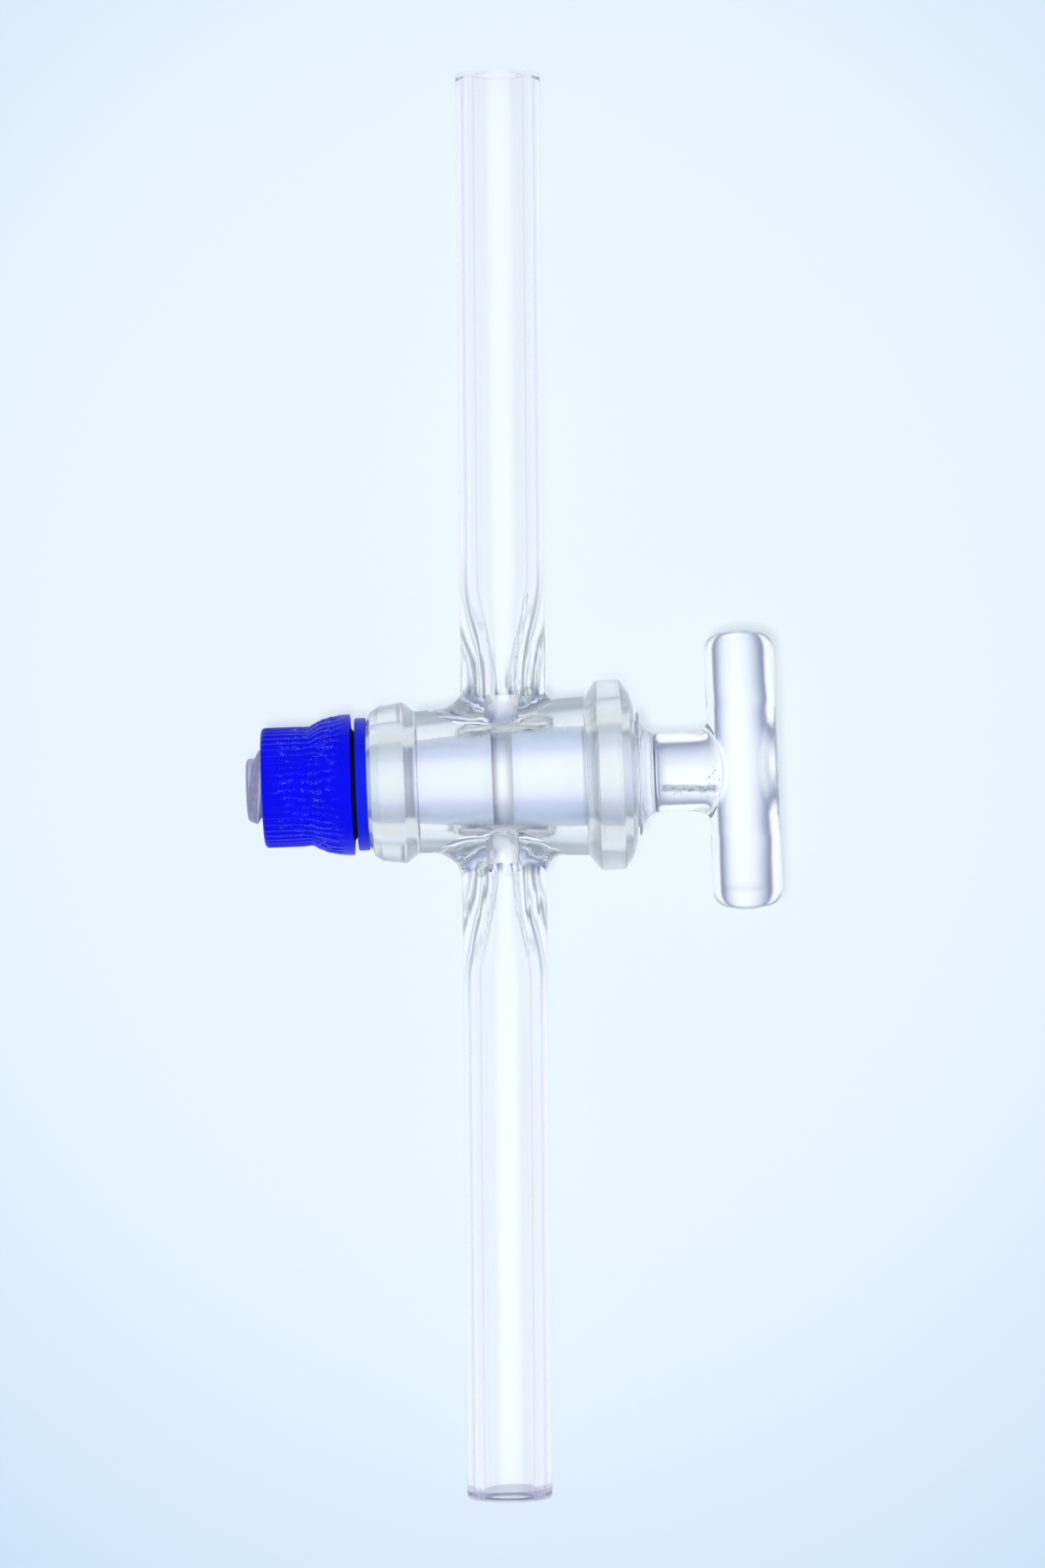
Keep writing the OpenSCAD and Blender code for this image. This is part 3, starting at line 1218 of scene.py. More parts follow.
    def inside(self) -> list[np.ndarray]:
        """Makes the tube's bore, back from its tip and in along its shoulder to the neck.

        Returns:
            The rings.
        """
        rings = [
            self.at(out, self.bore_r)
            for out in along(self.length - self.tip_l, self.neck_start + self.neck_l + 0.5, 14)[1:]
        ]
        for share in along(1, 0, 60):
            narrowing = (self.bore_r - self.neck_r) * float(ease(share))
            mark = 0.4 * self.mark_h * sin(pi * share) * self.draw_marks.at(share * 30, self.turn)
            streak = self.streak_h * (1 - share) * self.streaks.at(share * 1.6, self.turn)
            rings.append(self.at(self.neck_start + self.neck_l * share, self.neck_r + narrowing + mark + streak))
        return rings

    def neck(self, wall: Radius) -> list[np.ndarray]:
        """Makes the neck of the bore, down to the socket.

        Args:
            wall: The socket's radius at places along the key.

        Returns:
            Its rings, all but the last, which lies on the socket.
        """
        bottom = self.meets(self.neck_r, wall)
        rings = []
        for share in along(1, 0.12, 14)[1:]:
            mark = self.mark_h * sin(pi * share) * self.draw_marks.at(share * 14 + 31, self.turn)
            rings.append(self.at(bottom + (self.neck_start - bottom) * share, self.neck_r + mark))
        for angle in np.radians(along(0, 75, 3)):
            out = bottom + self.mouth_round * (1 - sin(angle))
            rings.append(self.at(out, self.neck_r + self.mouth_round * (1 - cos(angle))))
        return rings

    def mouth(self, wall: Radius) -> tuple[np.ndarray, np.ndarray]:
        """Finds the edge of the neck's mouth on the socket.

        Args:
            wall: The socket's radius at places along the key.

        Returns:
            The place along the key and the angle from the arm, for each point of a ring.
        """
        radius = self.neck_r + self.mouth_round
        x = self.at(self.meets(self.neck_r, wall), radius)[:, 0]
        return x, np.arcsin(radius * np.sin(self.turn) / wall(x))


@dataclass
class Barrel:
    """The barrel: a body with a ground taper socket, a bead at each end, and an arm on each side."""

    taper: Taper
    wall: float = 3.3
    small_bead_r: Range = (9.1, 9.45)
    bead_l: float = 2.8
    bead_edge: float = 1.5
    bead_slope: float = 1.4
    small_drop: float = 2.0
    large_drop: float = 3.0
    small_face: float = 1.2
    large_face: float = 0.9
    mouth_round: float = 0.25
    cut_depth: float = 0.05
    pierced: Pierced = Pierced(9.4, 36, 22, 120)
    seeds: tuple[tuple[Sequence[float], Sequence[float]], ...] = (
        ((2.9, 9.4, 2.7), (0.6, 1.15, 0.4)),
        ((-2.75, -10.4, 2.75), (0.65, 1.05, 0.4)),
    )
    seed_lump_h: float = 0.35
    seed_rows: int = 18
    seed_columns: int = 32
    rows_to_lump: int = 3
    bubbles: int = 26
    bubble_x: Range = (-4.2, 4.2)
    bubble_out: Range = (9.6, 11.4)
    bubble_size: Range = (0.04, 0.11)
    bubble_up: Range = (1.9, 2.9)
    bubble_up_at_side: Range = (0.4, 1.2)
    bubble_stretch: float = 1.4
    side_from: float = 3.4
    neck_wall: float = 0.25

    def __post_init__(self) -> None:
        """Reads the sizes that the CAD barrel gives."""
        self.small_x, self.large_x = span("barrel", 0)
        self.large_bead_r = span("barrel", 2)[1]
        axis = np.abs(MOUNTS["upper_arm_bore"]["axis"])
        lean = float(np.arctan2(axis[0], axis[1]))
        low, high = span("barrel", 1)
        tip_drop = Arm.radius * sin(lean)
        self.upper = Arm(
            1, (high - tip_drop) / cos(lean), lean=lean,
            spread_left=3.9, spread_right=1.2, spread_front=1.4, rise_left=1.8, rise_right=1.0, rise_front=2.0,
        )
        self.lower = Arm(-1, (-low - tip_drop) / cos(lean), lean=lean)

    def wall_r(self, x: np.ndarray | float) -> np.ndarray | float:
        """The outer wall's radius."""
        return self.taper.socket_r(x) + self.wall

    def bead_spans(self) -> Range:
        """Finds where the small bead ends and the large one starts."""
        slopes = self.bead_edge + self.bead_l + self.bead_slope
        return self.small_x + slopes, self.large_x - slopes

    def outside(self) -> tuple[Profile, Profile]:
        """Draws the outside of the barrel's two ends.

        Returns:
            The small end's profile up to the windows, and the large end's from there.
        """
        small, large, edge, half_l = self.small_x, self.large_x, self.bead_edge, self.pierced.half_l
        bead_low, bead_high = self.small_bead_r
        small_wall_x, large_wall_x = self.bead_spans()
        small_end = rounded([
            (small, self.taper.socket_r(small) + self.small_face, 0),
            (small, bead_low - self.small_drop + 0.1, 0.5),
            (small + edge / 3, bead_low - self.small_drop / 3, 0.6),
            (small + edge, bead_low, 0.5),
            (small + edge + self.bead_l, bead_high, 0.5),
            (small_wall_x, self.wall_r(small_wall_x), 0.8),
            (-half_l, self.wall_r(-half_l), 0),
        ])
        large_end = rounded([
            (half_l, self.wall_r(half_l), 0),
            (large_wall_x, self.wall_r(large_wall_x), 0.8),
            (large - edge - self.bead_l, self.large_bead_r, 0.5),
            (large - edge, self.large_bead_r, 0.35),
            (large - edge / 3, self.large_bead_r - self.large_drop / 2, 0.35),
            (large, self.large_bead_r - self.large_drop, 0.5),
            (large, self.taper.socket_r(large) + self.large_face, 0),
        ])
        return small_end, large_end

    def mouth(self, end_x: float, face: float) -> Profile:
        """Draws the edge where the socket meets an end face.

        Args:
            end_x: The end face's place along the key.
            face: How far up the face the profile starts.

        Returns:
            The profile from the face into the socket, up to the windows.
        """
        edge_x, socket_r = float(np.copysign(self.pierced.half_l, end_x)), self.taper.socket_r
        return rounded([
            (end_x, socket_r(end_x) + face, 0),
            (end_x, socket_r(end_x), self.mouth_round),
            (edge_x, socket_r(edge_x), 0),
        ])

    def net(self, skin: Skin, before: Profile, after: Profile, radius: Radius) -> Net:
        """Makes one turned surface with a window for each arm.

        Args:
            skin: The skin that it is part of.
            before: The profile towards -X of the windows, ending at their edge.
            after: The profile towards +X of them, starting at their edge.
            radius: The surface's radius at places along the windows.

        Returns:
            The net.
        """
        profile, windows = self.pierced.cut(before, after, radius)
        return Net(skin, [x for x, _ in profile], turned(profile, self.pierced.columns), windows)

    def build(self) -> bpy.types.Object:
        """Makes the barrel's piece.

        Returns:
            The piece.
        """
        skin = Skin()
        skin.part = Part.WALL
        outside = self.net(skin, *self.outside(), self.wall_r)
        skin.part = Part.GROUND
        small_mouth, large_mouth = self.mouth(self.small_x, self.small_face), self.mouth(self.large_x, self.large_face)
        socket = self.net(skin, small_mouth, large_mouth[::-1], self.taper.socket_r)
        for number, arm in enumerate((self.upper, self.lower)):
            self.add_arm(skin, arm, number, outside, socket)
        self.leave_seeds(skin)
        piece = skin.build("barrel_glass", GLASSES, "barrel", "barrel")
        small_bead, large_bead = self.bead_spans()
        for face in piece.data.polygons:
            x = (face.center.x - KEY_CENTRE[0]) / MM
            if x < self.small_x + self.cut_depth:
                face.material_index = SLOTS[Part.GROUND]
            elif face.material_index == SLOTS[Part.WALL] and not small_bead <= x <= large_bead:
                face.material_index = SLOTS[Part.BEAD]
        return piece

    def leave_seeds(self, skin: Skin) -> None:
        """Leaves a crumb of unmelted frit beside each neck, and fine bubbles round both.

        Args:
            skin: The barrel's skin.
        """
        draw = np.random.RandomState(11)
        lumps = Grain(12, 6, 8)
        skin.part = Part.SEED
        for centre, reach in self.seeds:
            heights = [lumps.at(row / self.rows_to_lump, around(self.seed_columns)) for row in range(self.seed_rows)]
            skin.bubble(centre, reach, self.seed_lump_h * np.array(heights))
        skin.part = Part.BUBBLE
        for arm in (self.upper, self.lower):
            for _ in range(self.bubbles):
                x, out, size = (draw.uniform(*limits) for limits in (self.bubble_x, self.bubble_out, self.bubble_size))
                up = draw.uniform(*(self.bubble_up if abs(x) < self.side_from else self.bubble_up_at_side))
                if np.hypot(x, up) > arm.neck_r + self.neck_wall:
                    skin.bubble((x, arm.side * out, up), (size, size * self.bubble_stretch, size))

    def add_arm(self, skin: Skin, arm: Arm, number: int, outside: Net, socket: Net) -> None:
        """Melts one arm onto the barrel and runs its bore through to the socket.

        Args:
            skin: The barrel's skin.
            arm: The arm.
            number: Which of the nets' windows it takes.
            outside: The outer net.
            socket: The socket's net.
        """
        wall, ground = beside(arm.side, self.wall_r), beside(arm.side, self.taper.socket_r)
        foot = arm.foot(self.wall_r)
        root, straight = arm.root(self.wall_r, wall(*foot))
        inner, neck = arm.inside(), arm.neck(self.taper.socket_r)
        skin.part = Part.WALL
        ring = outside.fill(outside.windows[number], foot, wall, 9, 1.4)
        for part, rings in (
            (Part.CLEAR, root),
            (Part.TUBE, straight + arm.outside()),
            (Part.BORE, inner + neck[:3]),
            (Part.MILKY, neck[3:]),
        ):
            skin.part = part
            ring = skin.loft(rings, ring)
        skin.part = Part.GROUND
        skin.bridge(ring, socket.fill(socket.windows[number], arm.mouth(self.taper.socket_r), ground, 8, 1.6))


# ---------------------------------------------------------------- key


@dataclass
class Key:
    """The key: ground plug with its cross bore, collar, stem, bar handle and threaded end."""

    taper: Taper
    plug_small_x: float = -15.2
    bore_r: float = 1.25
    bore_edge: float = 0.15
    bore_half_l: float = 4.6
    collar_x: float = 15.7
    collar_r: float = 7.25
    collar_rim: float = 0.3
    slope_l: float = 2.2
    stem_r: float = 4.6
    stem_end_x: float = 21.0
    stem_last_l: float = 1.2
    bar_r: float = 4.1
    bar_round: float = 2.1
    bar_dome: float = 0.3
    bar_columns: int = 96
    bar_window_half: int = 37
    bar_window_rows: int = 22
    bar_window_half_l: float = 8.0
    root_half_l: float = 5.75
    root_wrap: float = 63.0
    root_reach: Range = (1.8, 3.5)
    root_run_out: Range = (0.7, 1.3)
    thread_crest: float = 4.5
    thread_root: float = 3.5
    thread_pitch: float = 2.8
    thread_start: float = -28.1
    thread_fade: float = 1.9
    thread_end: float = 0.8
    tip_share: float = 0.35
    tip_dome: float = 0.35
    tip_flat: float = 0.78
    pierced: Pierced = Pierced(4.3, 24, 24, 192)
    stem_bubbles: int = 60
    stem_string_x: Range = (18.2, 24.6)
    stem_string_y: Range = (-1.75, -2.1)
    stem_spread: float = 0.22
    stem_bubble_r: float = 3.7
    stem_bubble_up: Range = (-0.3, 0.1)
    stem_bubble_size: Range = (0.04, 0.13)
    root_bubbles: int = 34
    root_bubble_x: Range = (23.4, 25.4)
    root_bubble_y: Range = (-4.6, 0.6)
    root_bubble_z: Range = (1.6, 2.7)
    root_bubble_size: Range = (0.05, 0.15)

    def __post_init__(self) -> None:
        """Reads the sizes that the CAD key gives."""
        self.tip_x, bar_far_x = span("key", 0)
        self.bar_x = bar_far_x - self.bar_r
        self.bar_half_l = (span("key", 1)[1] - span("key", 1)[0]) / 2

    def thread_r(self, x: float) -> np.ndarray:
        """Follows the right-hand thread.

        Args:
            x: A place along the key.

        Returns:
            The thread's radius at each point round the key.
        """
        turns = around(self.pierced.columns) / FULL_TURN
        phase = ((x - self.thread_start) / self.thread_pitch + turns) % 1
        shape = ease((np.abs(2 * phase - 1) - 0.3) / 0.45)
        tip = ease((x - self.tip_x) / self.thread_fade)
        depth = (self.thread_crest - self.thread_root) * ease((self.plug_small_x - x) / self.thread_end)
        return self.thread_crest - depth * (1 - shape * (self.tip_share + (1 - self.tip_share) * tip))

    def thread(self) -> list[np.ndarray]:
        """Makes the threaded end, from its tip to the plug.

        Returns:
            Its rings.
        """
        columns, dome_x = self.pierced.columns, self.tip_x + self.tip_dome
        end_r = self.thread_r(dome_x)
        rings = [turned_ring(self.tip_x, end_r * share, columns) for share in (0.12, 0.4, 0.65)]
        for share in along(0, 1, 6)[:-1]:
            radius = end_r * (self.tip_flat + (1 - self.tip_flat) * share)
            rings.append(turned_ring(dome_x - self.tip_dome * sqrt(1 - share**2), radius, columns))
        stretch = along(dome_x, self.plug_small_x - 0.15, 92)
        return rings + [turned_ring(x, self.thread_r(x), columns) for x in stretch]

    def plug(self) -> tuple[Profile, Profile]:
        """Draws the plug and the collar on both sides of the cross bore.

        Returns:
            The profile from the thread to the window, and the one from the window to the stem's end.
        """
        key_r, half_l, small = self.taper.key_r, self.pierced.half_l, self.plug_small_x
        before = rounded([
            (small, self.thread_crest - 0.05, 0),
            (small, key_r(small), 0.12),
            (-half_l, key_r(-half_l), 0),
        ])
        rim_end = self.collar_x + self.collar_rim
        slope_r = self.collar_r - self.stem_r
        hollow = [
            (rim_end + self.slope_l * (1 - cos(angle)), self.stem_r + slope_r * (1 - sin(angle)))
            for angle in along(0, pi / 2, 14)
        ]
        collar = rounded([
            (half_l, key_r(half_l), 0),
            (self.collar_x, key_r(self.collar_x), 0.12),
            (self.collar_x, self.collar_r, 0.2),
            (rim_end, self.collar_r, 0.2),
            (*hollow[2], 0),
        ])
        stem = [(self.stem_end_x - self.stem_last_l, self.stem_r), (self.stem_end_x, self.stem_r)]
        return before, collar + hollow[3:] + stem

    def build(self) -> bpy.types.Object:
        """Makes the key's piece.

        Returns:
            The piece.
        """
        skin = Skin()
        skin.part = Part.THREAD
        last = skin.loft(self.thread())
        skin.close(np.arange(self.pierced.columns), (self.tip_x, 0, 0))
        profile, windows = self.pierced.cut(*self.plug(), self.taper.key_r)
        rings = turned(profile, self.pierced.columns)
        clear_from = 1 + next(row for row, (x, _) in enumerate(profile) if x > self.collar_x - 0.05)
        skin.part = Part.GROUND
        net = Net(skin, [x for x, _ in profile], rings[:clear_from], windows)
        skin.bridge(last, net.rows[0])
        self.bore(skin, net)
        skin.part = Part.HANDLE
        self.bar(skin, skin.loft(rings[clear_from:], net.rows[-1]), rings[-1])
        self.leave_bubbles(skin)
        return skin.build("key_glass", GLASSES, "key", "key")

    def leave_bubbles(self, skin: Skin) -> None:
        """Leaves the strings of fine bubbles where the handle was melted on.

        Args:
            skin: The key's skin.
        """
        draw = np.random.RandomState(7)
        skin.part = Part.BUBBLE
        (start_x, end_x), (start_y, end_y) = self.stem_string_x, self.stem_string_y
        for _ in range(self.stem_bubbles):
            share, size = draw.uniform(), draw.uniform(*self.stem_bubble_size)
            x = start_x + (end_x - start_x) * share
            y = start_y + (end_y - start_y) * share + draw.normal(0, self.stem_spread)
            up = sqrt(self.stem_bubble_r**2 - y**2) + draw.uniform(*self.stem_bubble_up)
            skin.bubble((x, y, up), (size, size, size))
        for _ in range(self.root_bubbles):
            limits = (self.root_bubble_x, self.root_bubble_y, self.root_bubble_size, self.root_bubble_z)
            x, y, size, up = (draw.uniform(*limit) for limit in limits)
            skin.bubble((x, y, up), (size, size, size))

    def bore(self, skin: Skin, net: Net) -> None:
        """Drills the cross bore through the plug.

        Args:
            skin: The key's skin.
            net: The plug's net.
        """
        turn = around(len(net.windows[0].loop()))
        key_r = self.taper.key_r
        x = (self.bore_r + self.bore_edge) * np.cos(turn)
        hole = (x, np.arcsin((self.bore_r + self.bore_edge) * np.sin(turn) / key_r(x)))
        ends = []
        for side, window in zip((1, -1), net.windows):
            skin.part = Part.GROUND
            ring = net.fill(window, hole, beside(side, key_r), 7, 1.6)
            edge = []
            for angle in along(pi / 2, 0, 3)[1:]:
                radius = self.bore_r + self.bore_edge * (1 - cos(angle))
                x, z = radius * np.cos(turn), radius * np.sin(turn)
                y = np.sqrt(key_r(x) ** 2 - z**2) - self.bore_edge * (1 - sin(angle))
                edge.append(np.stack([x, side * y, z], 1))
            skin.part = Part.DRILLED
            ends.append(skin.loft(edge, ring))
        x, z = self.bore_r * np.cos(turn), self.bore_r * np.sin(turn)
        steps = [np.stack([x, np.full(len(x), y), z], 1) for y in along(self.bore_half_l, -self.bore_half_l, 10)]
        skin.bridge(skin.loft(steps, ends[0]), ends[1])

    def on_bar(self, y: np.ndarray, angle: np.ndarray) -> np.ndarray:
        """Gives the points of the bar at places along it and angles from the stem."""
        return np.stack([self.bar_x - self.bar_r * np.cos(angle), y, self.bar_r * np.sin(angle)], 1)

    def bar_end(self) -> Profile:
        """Draws the bar's upper end, from the tip of its dome to the window.

        Returns:
            Its places along the bar and radii.
        """
        flat_r = self.bar_r - self.bar_round
        round_from = self.bar_half_l - self.bar_dome - self.bar_round
        dome = [(self.bar_half_l - self.bar_dome * share**2, flat_r * share) for share in (0.08, 0.3, 0.55, 0.8)]
        edge = [
            (round_from + self.bar_round * cos(angle), flat_r + self.bar_round * sin(angle))
            for angle in np.radians(along(10, 90, 12))
        ]
        return dome + edge + [(round_from - gap, self.bar_r) for gap in (0.25, 1.5, 3.5)]

    def bar(self, skin: Skin, stem: np.ndarray, stem_ring: np.ndarray) -> None:
        """Makes the bar handle and melts the stem into it.

        Args:
            skin: The key's skin.
            stem: The numbers of the stem's last ring.
            stem_ring: Its points.
        """
        turn, end, half_l = around(self.bar_columns), self.bar_end(), self.bar_window_half_l
        stretch = [(y, self.bar_r) for y in along(-half_l, half_l, self.bar_window_rows)]
        profile = [(-y, r) for y, r in end] + stretch + end[::-1]
        rings = [
            np.stack([self.bar_x - r * np.cos(turn), np.full(len(turn), y), r * np.sin(turn)], 1) for y, r in profile
        ]
        window = Window(len(end), len(end) + self.bar_window_rows, 0, self.bar_window_half)
        net = Net(skin, [y for y, _ in profile], rings, [window])
        skin.close(net.rows[0], (self.bar_x, -self.bar_half_l, 0))
        skin.close(net.rows[-1], (self.bar_x, self.bar_half_l, 0))
        turn = around(self.pierced.columns)
        hole = (self.root_half_l * np.cos(turn), radians(self.root_wrap) * np.sin(turn))
        ring = net.fill(window, hole, self.on_bar, 8, 1.4)
        foot = self.on_bar(*hole)
        side, flat = np.cos(turn)[:, None] ** 2, np.zeros(len(turn))
        at_side, at_top = self.root_reach
        stem_handle = stem_ring + np.array([1.0, 0, 0]) * (at_top + (at_side - at_top) * side)
        # On the bar's sides the root runs out along the bar, and over its top it runs out round it.
        along_bar = np.stack([flat, -np.sign(np.cos(turn)), flat], 1)
        round_bar = -np.sign(hole[1])[:, None] * np.stack([np.sin(hole[1]), flat, np.cos(hole[1])], 1)
        out_along, out_round = self.root_run_out
        foot_handle = foot + along_bar * out_along * side + round_bar * out_round * (1 - side)
        last = skin.loft(curve(foot, foot_handle, stem_handle, stem_ring, 16)[:-1], ring)
        skin.bridge(last, stem)


# ---------------------------------------------------------------- nut, ring and washer


@dataclass
class Nut:
    """The plastic nut: a ribbed grip that flares to a smooth rim, with a seat for the ring in its mouth."""

    grip_l: float = 5.7
    grip_r: float = 7.03
    hole_r: float = 4.58
    seat_r: float = 6.96
    seat_depth: float = 1.93
    flare_power: float = 2.3
    edge: float = 0.5
    end_l: float = 0.6
    rim_l: float = 0.45
    rib_count: int = 48
    rib_h: float = 0.13
    rim_drop: float = 0.35
    pit_h: float = 0.035
    pit_l: float = 0.33
    bend_cell_l: float = 1.4
    bend_turn: float = 2.4
    bend_most: float = 0.9
    bend_of_breaks: float = 0.05
    break_l: float = 0.5
    break_level: Range = (0.9, 1.1)
    bend_from: float = 2.0
    bend_l: float = 5.0
    rough_from: float = 4.2
    rough_l: float = 2.2
    smooth_from: float = 8.4
    smooth_l: float = 1.6
    columns: int = 384

    def __post_init__(self) -> None:
        """Reads the sizes that the CAD nut gives."""
        self.outer_x, self.rim_x = span("nut", 0)
        self.rim_r = span("nut", 2)[1]
        self.wobble = Grain(3, 26, 9)
        self.breaks = Grain(5, 130, 40)
        self.pits = Grain(8, 210, 70)

    def outside_r(self, x: float) -> float:
        """Follows the grip and the flare.

        Args:
            x: A place along the key.

        Returns:
            The radius to the crests of the ribs.
        """
        flare_x = self.outer_x + self.grip_l
        share = min(max((x - flare_x) / (self.rim_x - flare_x), 0), 1)
        return self.grip_r + (self.rim_r - self.grip_r) * (1 - (1 - share) ** self.flare_power)

    def relief(self, x: float) -> np.ndarray:
        """Presses the ribs and the rough grain into the outside.

        Args:
            x: A place along the key.

        Returns:
            How far the surface stands out at each point round the key.
        """
        turn = around(self.columns)
        from_end = x - self.outer_x
        bend = self.wobble.at(from_end / self.bend_cell_l, turn) * ease((from_end - self.bend_from) / self.bend_l)
        bend = bend * self.bend_most
        ridge = (0.5 + 0.5 * np.cos(self.rib_count * turn + bend * self.bend_turn)) ** 2
        usual, swing = self.break_level
        broken = ease(usual + swing * self.breaks.at(from_end / self.break_l, turn + bend * self.bend_of_breaks))
        rough = ease((from_end - self.rough_from) / self.rough_l)
        fade = 1 - ease((from_end - self.smooth_from) / self.smooth_l)
        height = self.rib_h * (ridge * (1 - rough + rough * broken) - 1)
        pits = self.pit_h * self.pits.at(from_end / self.pit_l, turn) * rough
        return (height + pits) * fade - self.rib_h * self.rim_drop * (1 - fade)

    def build(self) -> bpy.types.Object:
        """Makes the nut's piece.

        Returns:
            The piece.
        """
        seat_x, end_x, rim_start = self.rim_x - self.seat_depth, self.outer_x + self.end_l, self.rim_x - self.rim_l
        rings = []
        for angle in along(0, pi / 2, 5)[:-1]:
            in_from_end = self.edge * (1 - cos(angle))
            relief = self.relief(end_x) * in_from_end / self.end_l
            radius = self.outside_r(self.outer_x + in_from_end) + relief - self.edge * (1 - sin(angle))
            rings.append(turned_ring(self.outer_x + in_from_end, radius, self.columns))
        for x in along(end_x, rim_start, 74):
            rings.append(turned_ring(x, self.outside_r(x) + self.relief(x), self.columns))
        rim_r = self.rim_r - self.rib_h * self.rim_drop
        inside = rounded([
            (rim_start, rim_r, 0),
            (self.rim_x, rim_r, 0.25),
            (self.rim_x, self.seat_r, 0.15),
            (seat_x, self.seat_r, 0.2),
            (seat_x, self.hole_r, 0.15),
            (self.outer_x, self.hole_r, 0.3),
            (self.outer_x, self.grip_r - self.edge - 0.35, 0),
        ])
        skin = Skin()
        skin.bridge(skin.loft(rings + turned(inside[1:], self.columns)), np.arange(self.columns))
        return skin.build("nut_plastic", (Plastic(),), "nut", "nut")


@dataclass
class Washer:
    """The flat plastic washer between the barrel and the nut."""

    hole_r: float = 4.58
    edge: float = 0.2
    columns: int = 192

    def build(self) -> bpy.types.Object:
        """Makes the washer's piece.

        Returns:
            The piece.
        """
        low, high = span("washer", 0)
        outer_r = span("washer", 2)[1]
        start = (low, (self.hole_r + outer_r) / 2, 0)
        corners = ((low, outer_r), (high, outer_r), (high, self.hole_r), (low, self.hole_r))
        profile = rounded([start, *((x, r, self.edge) for x, r in corners), start])
        skin = Skin()
        skin.loft(turned(profile, self.columns))
        finish = Plastic("washer plastic", (8, 22, 214), (14, 38, 248), grain_per_mm=3.0, grain_depth=0.000006)
        return skin.build("washer_plastic", (finish,), "key", "washer")


@dataclass
class Ring:
    """The rubber ring in the nut's mouth."""

    columns: int = 144
    steps: int = 28

    def build(self) -> bpy.types.Object:
        """Makes the ring's piece.

        Returns:
            The piece.
        """
        low, high = span("o_ring", 0)
        middle, section_r = (low + high) / 2, (high - low) / 2
        centre_r = span("o_ring", 2)[1] - section_r
        profile = [(middle + section_r * cos(a), centre_r + section_r * sin(a)) for a in around(self.steps)]
        skin = Skin()
        skin.bridge(skin.loft(turned(profile, self.columns)), np.arange(self.columns))
        finish = Mottled("ring rubber", (18, 18, 26), (38, 38, 48), 1.5, 3.0, 0.45, 0.2)
        return skin.build("ring_rubber", (finish,), "o_ring", "o_ring")


# ---------------------------------------------------------------- studio


@dataclass(frozen=True)
class Surroundings:
    """The pale room round the table: bright overhead, dimmer towards the horizon."""

    by_angle: Stops = (
        (0, (96, 108, 118)), (20, (150, 162, 172)), (40, (214, 222, 230)), (60, (240, 246, 252)),
        (90, (246, 252, 255)),
    )
    room: Shade = (124, 126, 132)
    backdrop: Shade = (222, 236, 250)

    def build(self) -> None:
        """Sets the world, which is plain where it is seen straight on, through glass or as a reflection."""
        world = bpy.data.worlds.new("studio")
        bpy.context.scene.world = world
        world.use_nodes = True
        world.cycles.sampling_method = "NONE"
        graph = Graph(world.node_tree)
        direction = graph.node("ShaderNodeTexCoord", output="Generated")
        height = abs(graph.node("ShaderNodeSeparateXYZ", None, {0: direction}, 2))
        light = graph.ramp(height, tuple((sin(radians(angle)), shade) for angle, shade in self.by_angle))
        bent = graph.math("MAXIMUM", graph.ray("Transmission"), graph.ray("Glossy"))
        colour = graph.mix(bent, linear(self.room), light)
        colour = graph.mix(graph.ray("Camera"), colour, linear(self.backdrop))
        shader = graph.node("ShaderNodeBackground", None, {"Color": colour, "Strength": 1.0})
        graph.node("ShaderNodeOutputWorld", None, {"Surface": shader})


@dataclass(frozen=True)
class TableTop(Finish):
    """The pale table that the part lies on, with a painted pool of light that is brightest under its middle."""

    name: str = "pale table"
    glow: float = 0.7
    under_glass: Shade = (246, 250, 255)
    centre: Range = (4.0, 15.0)
    squeeze: float = 1.15
    painted_light_fall: Stops = (
        (0, (238, 247, 255)), (60, (235, 247, 255)), (80, (231, 245, 255)), (105, (221, 237, 254)),
        (130, (206, 229, 248)), (200, (200, 224, 244)),
    )

    def dress(self, graph: Graph) -> Value:
        """A table that takes shadows, and glows a little so that those in plain sight stay faint.

        Args:
            graph: The material's graph.

        Returns:
            The shader.
        """
        x, y, _ = graph.place()
        across, up = self.centre
        distance = ((x * self.squeeze - across) ** 2.0 + (y - up) ** 2.0) ** 0.5
        # Painted light: the table's colour falls off away from the middle.
        colour = graph.ramp(distance, self.painted_light_fall)
        glow = graph.node("ShaderNodeEmission", None, {"Color": colour, "Strength": self.glow})
        share = (1 - self.glow,) * 3 + (1,)
        matt = graph.node("ShaderNodeBsdfDiffuse", None, {"Color": graph.mix(1.0, colour, share, "MULTIPLY")})
        top = graph.node("ShaderNodeAddShader", None, {0: glow, 1: matt})
        return graph.either(graph.ray("Transmission"), top, graph.coloured("ShaderNodeBsdfDiffuse", self.under_glass))


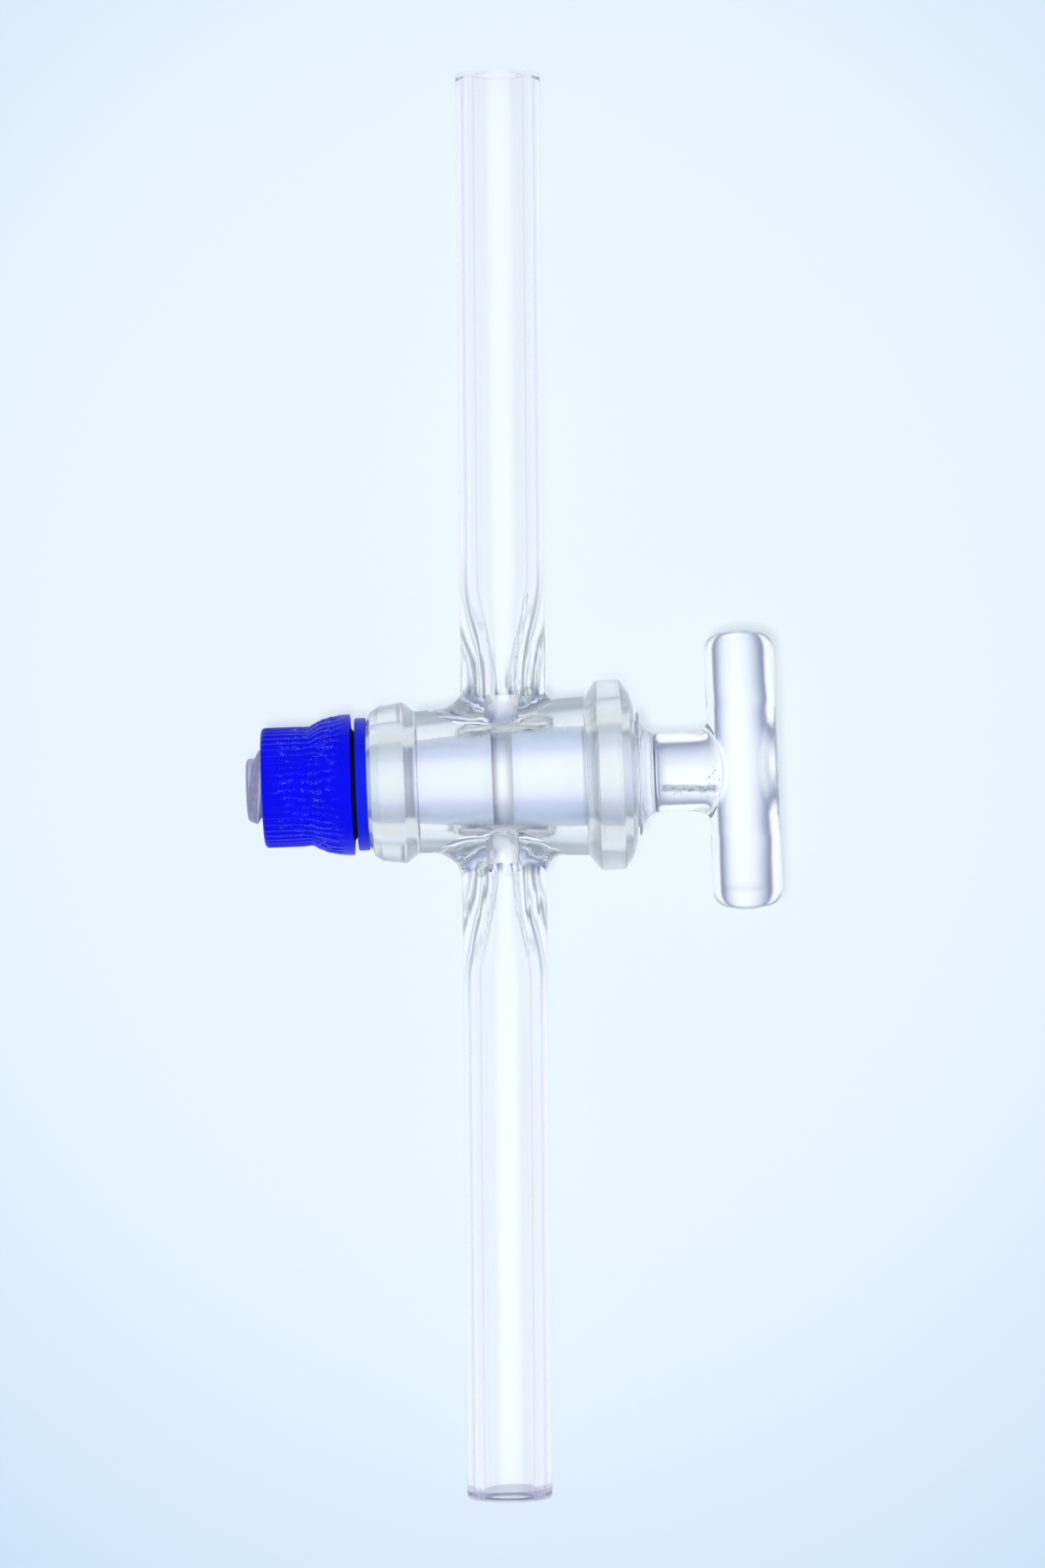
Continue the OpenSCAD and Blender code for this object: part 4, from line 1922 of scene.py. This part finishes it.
@dataclass
class Studio:
    """The table, the lamp, the surroundings and the camera. Its own sizes are in metres."""

    table_half: float = 3.0
    lamp_place: tuple[float, float, float] = (-0.045, -0.05, 0.9)
    lamp_size: float = 0.1
    lamp_power: float = 6.2
    camera_height: float = 0.712
    lens: float = 139.5
    tilt: float = -2.2
    aim_right: float = 0.0022
    aim_down: float = 0.0006
    glass_bounces: int = 32

    def build(self) -> None:
        """Sets the scene round the part."""
        Surroundings().build()
        self.bounces()
        self.table()
        self.lamp()
        self.camera()
        bpy.context.scene.view_settings.view_transform = "Standard"

    def bounces(self) -> None:
        """Lets light pass through all the walls of the glass, one inside the other."""
        for limit in ("max_bounces", "transmission_bounces", "glossy_bounces", "transparent_max_bounces"):
            setattr(bpy.context.scene.cycles, limit, self.glass_bounces)

    def add(self, name: str, data: bpy.types.ID) -> bpy.types.Object:
        """Adds an object to the scene.

        Args:
            name: Its name.
            data: Its mesh, light or camera.

        Returns:
            The object.
        """
        thing = bpy.data.objects.new(name, data)
        bpy.context.scene.collection.objects.link(thing)
        return thing

    def table(self) -> None:
        """Lays the table under the part."""
        half = self.table_half
        mesh = bpy.data.meshes.new("table")
        mesh.from_pydata([(-half, -half, 0), (half, -half, 0), (half, half, 0), (-half, half, 0)], [], [(0, 1, 2, 3)])
        mesh.materials.append(TableTop().material())
        self.add("table", mesh)

    def lamp(self) -> None:
        """Hangs one wide soft lamp over the part, which isn't seen in the glass itself."""
        light = bpy.data.lights.new("soft lamp", "AREA")
        light.shape = "SQUARE"
        light.size = self.lamp_size
        light.energy = self.lamp_power
        lamp = self.add("soft lamp", light)
        lamp.location = self.lamp_place
        lamp.visible_glossy = False
        lamp.visible_transmission = False

    def camera(self) -> None:
        """Looks straight down on the part, turned a little so that the key rises to the right."""
        data = bpy.data.cameras.new("camera")
        data.lens = self.lens
        camera = self.add("camera", data)
        turn = radians(self.tilt)
        right, up = np.array([cos(turn), sin(turn), 0]), np.array([-sin(turn), cos(turn), 0])
        camera.location = KEY_CENTRE + right * self.aim_right - up * self.aim_down + [0, 0, self.camera_height]
        camera.rotation_euler = (0, 0, turn)
        bpy.context.scene.camera = camera


def main() -> None:
    """Builds the part and the studio, and logs each piece as it is built."""
    logging.basicConfig(level=logging.INFO, format="%(name)s: %(message)s")
    taper = Taper()
    for assembly in (Barrel(taper), Key(taper), Washer(), Ring(), Nut()):
        piece = assembly.build()
        LOG.info("built %s", piece.name)
    Studio().build()


if __name__ == "__main__":
    main()
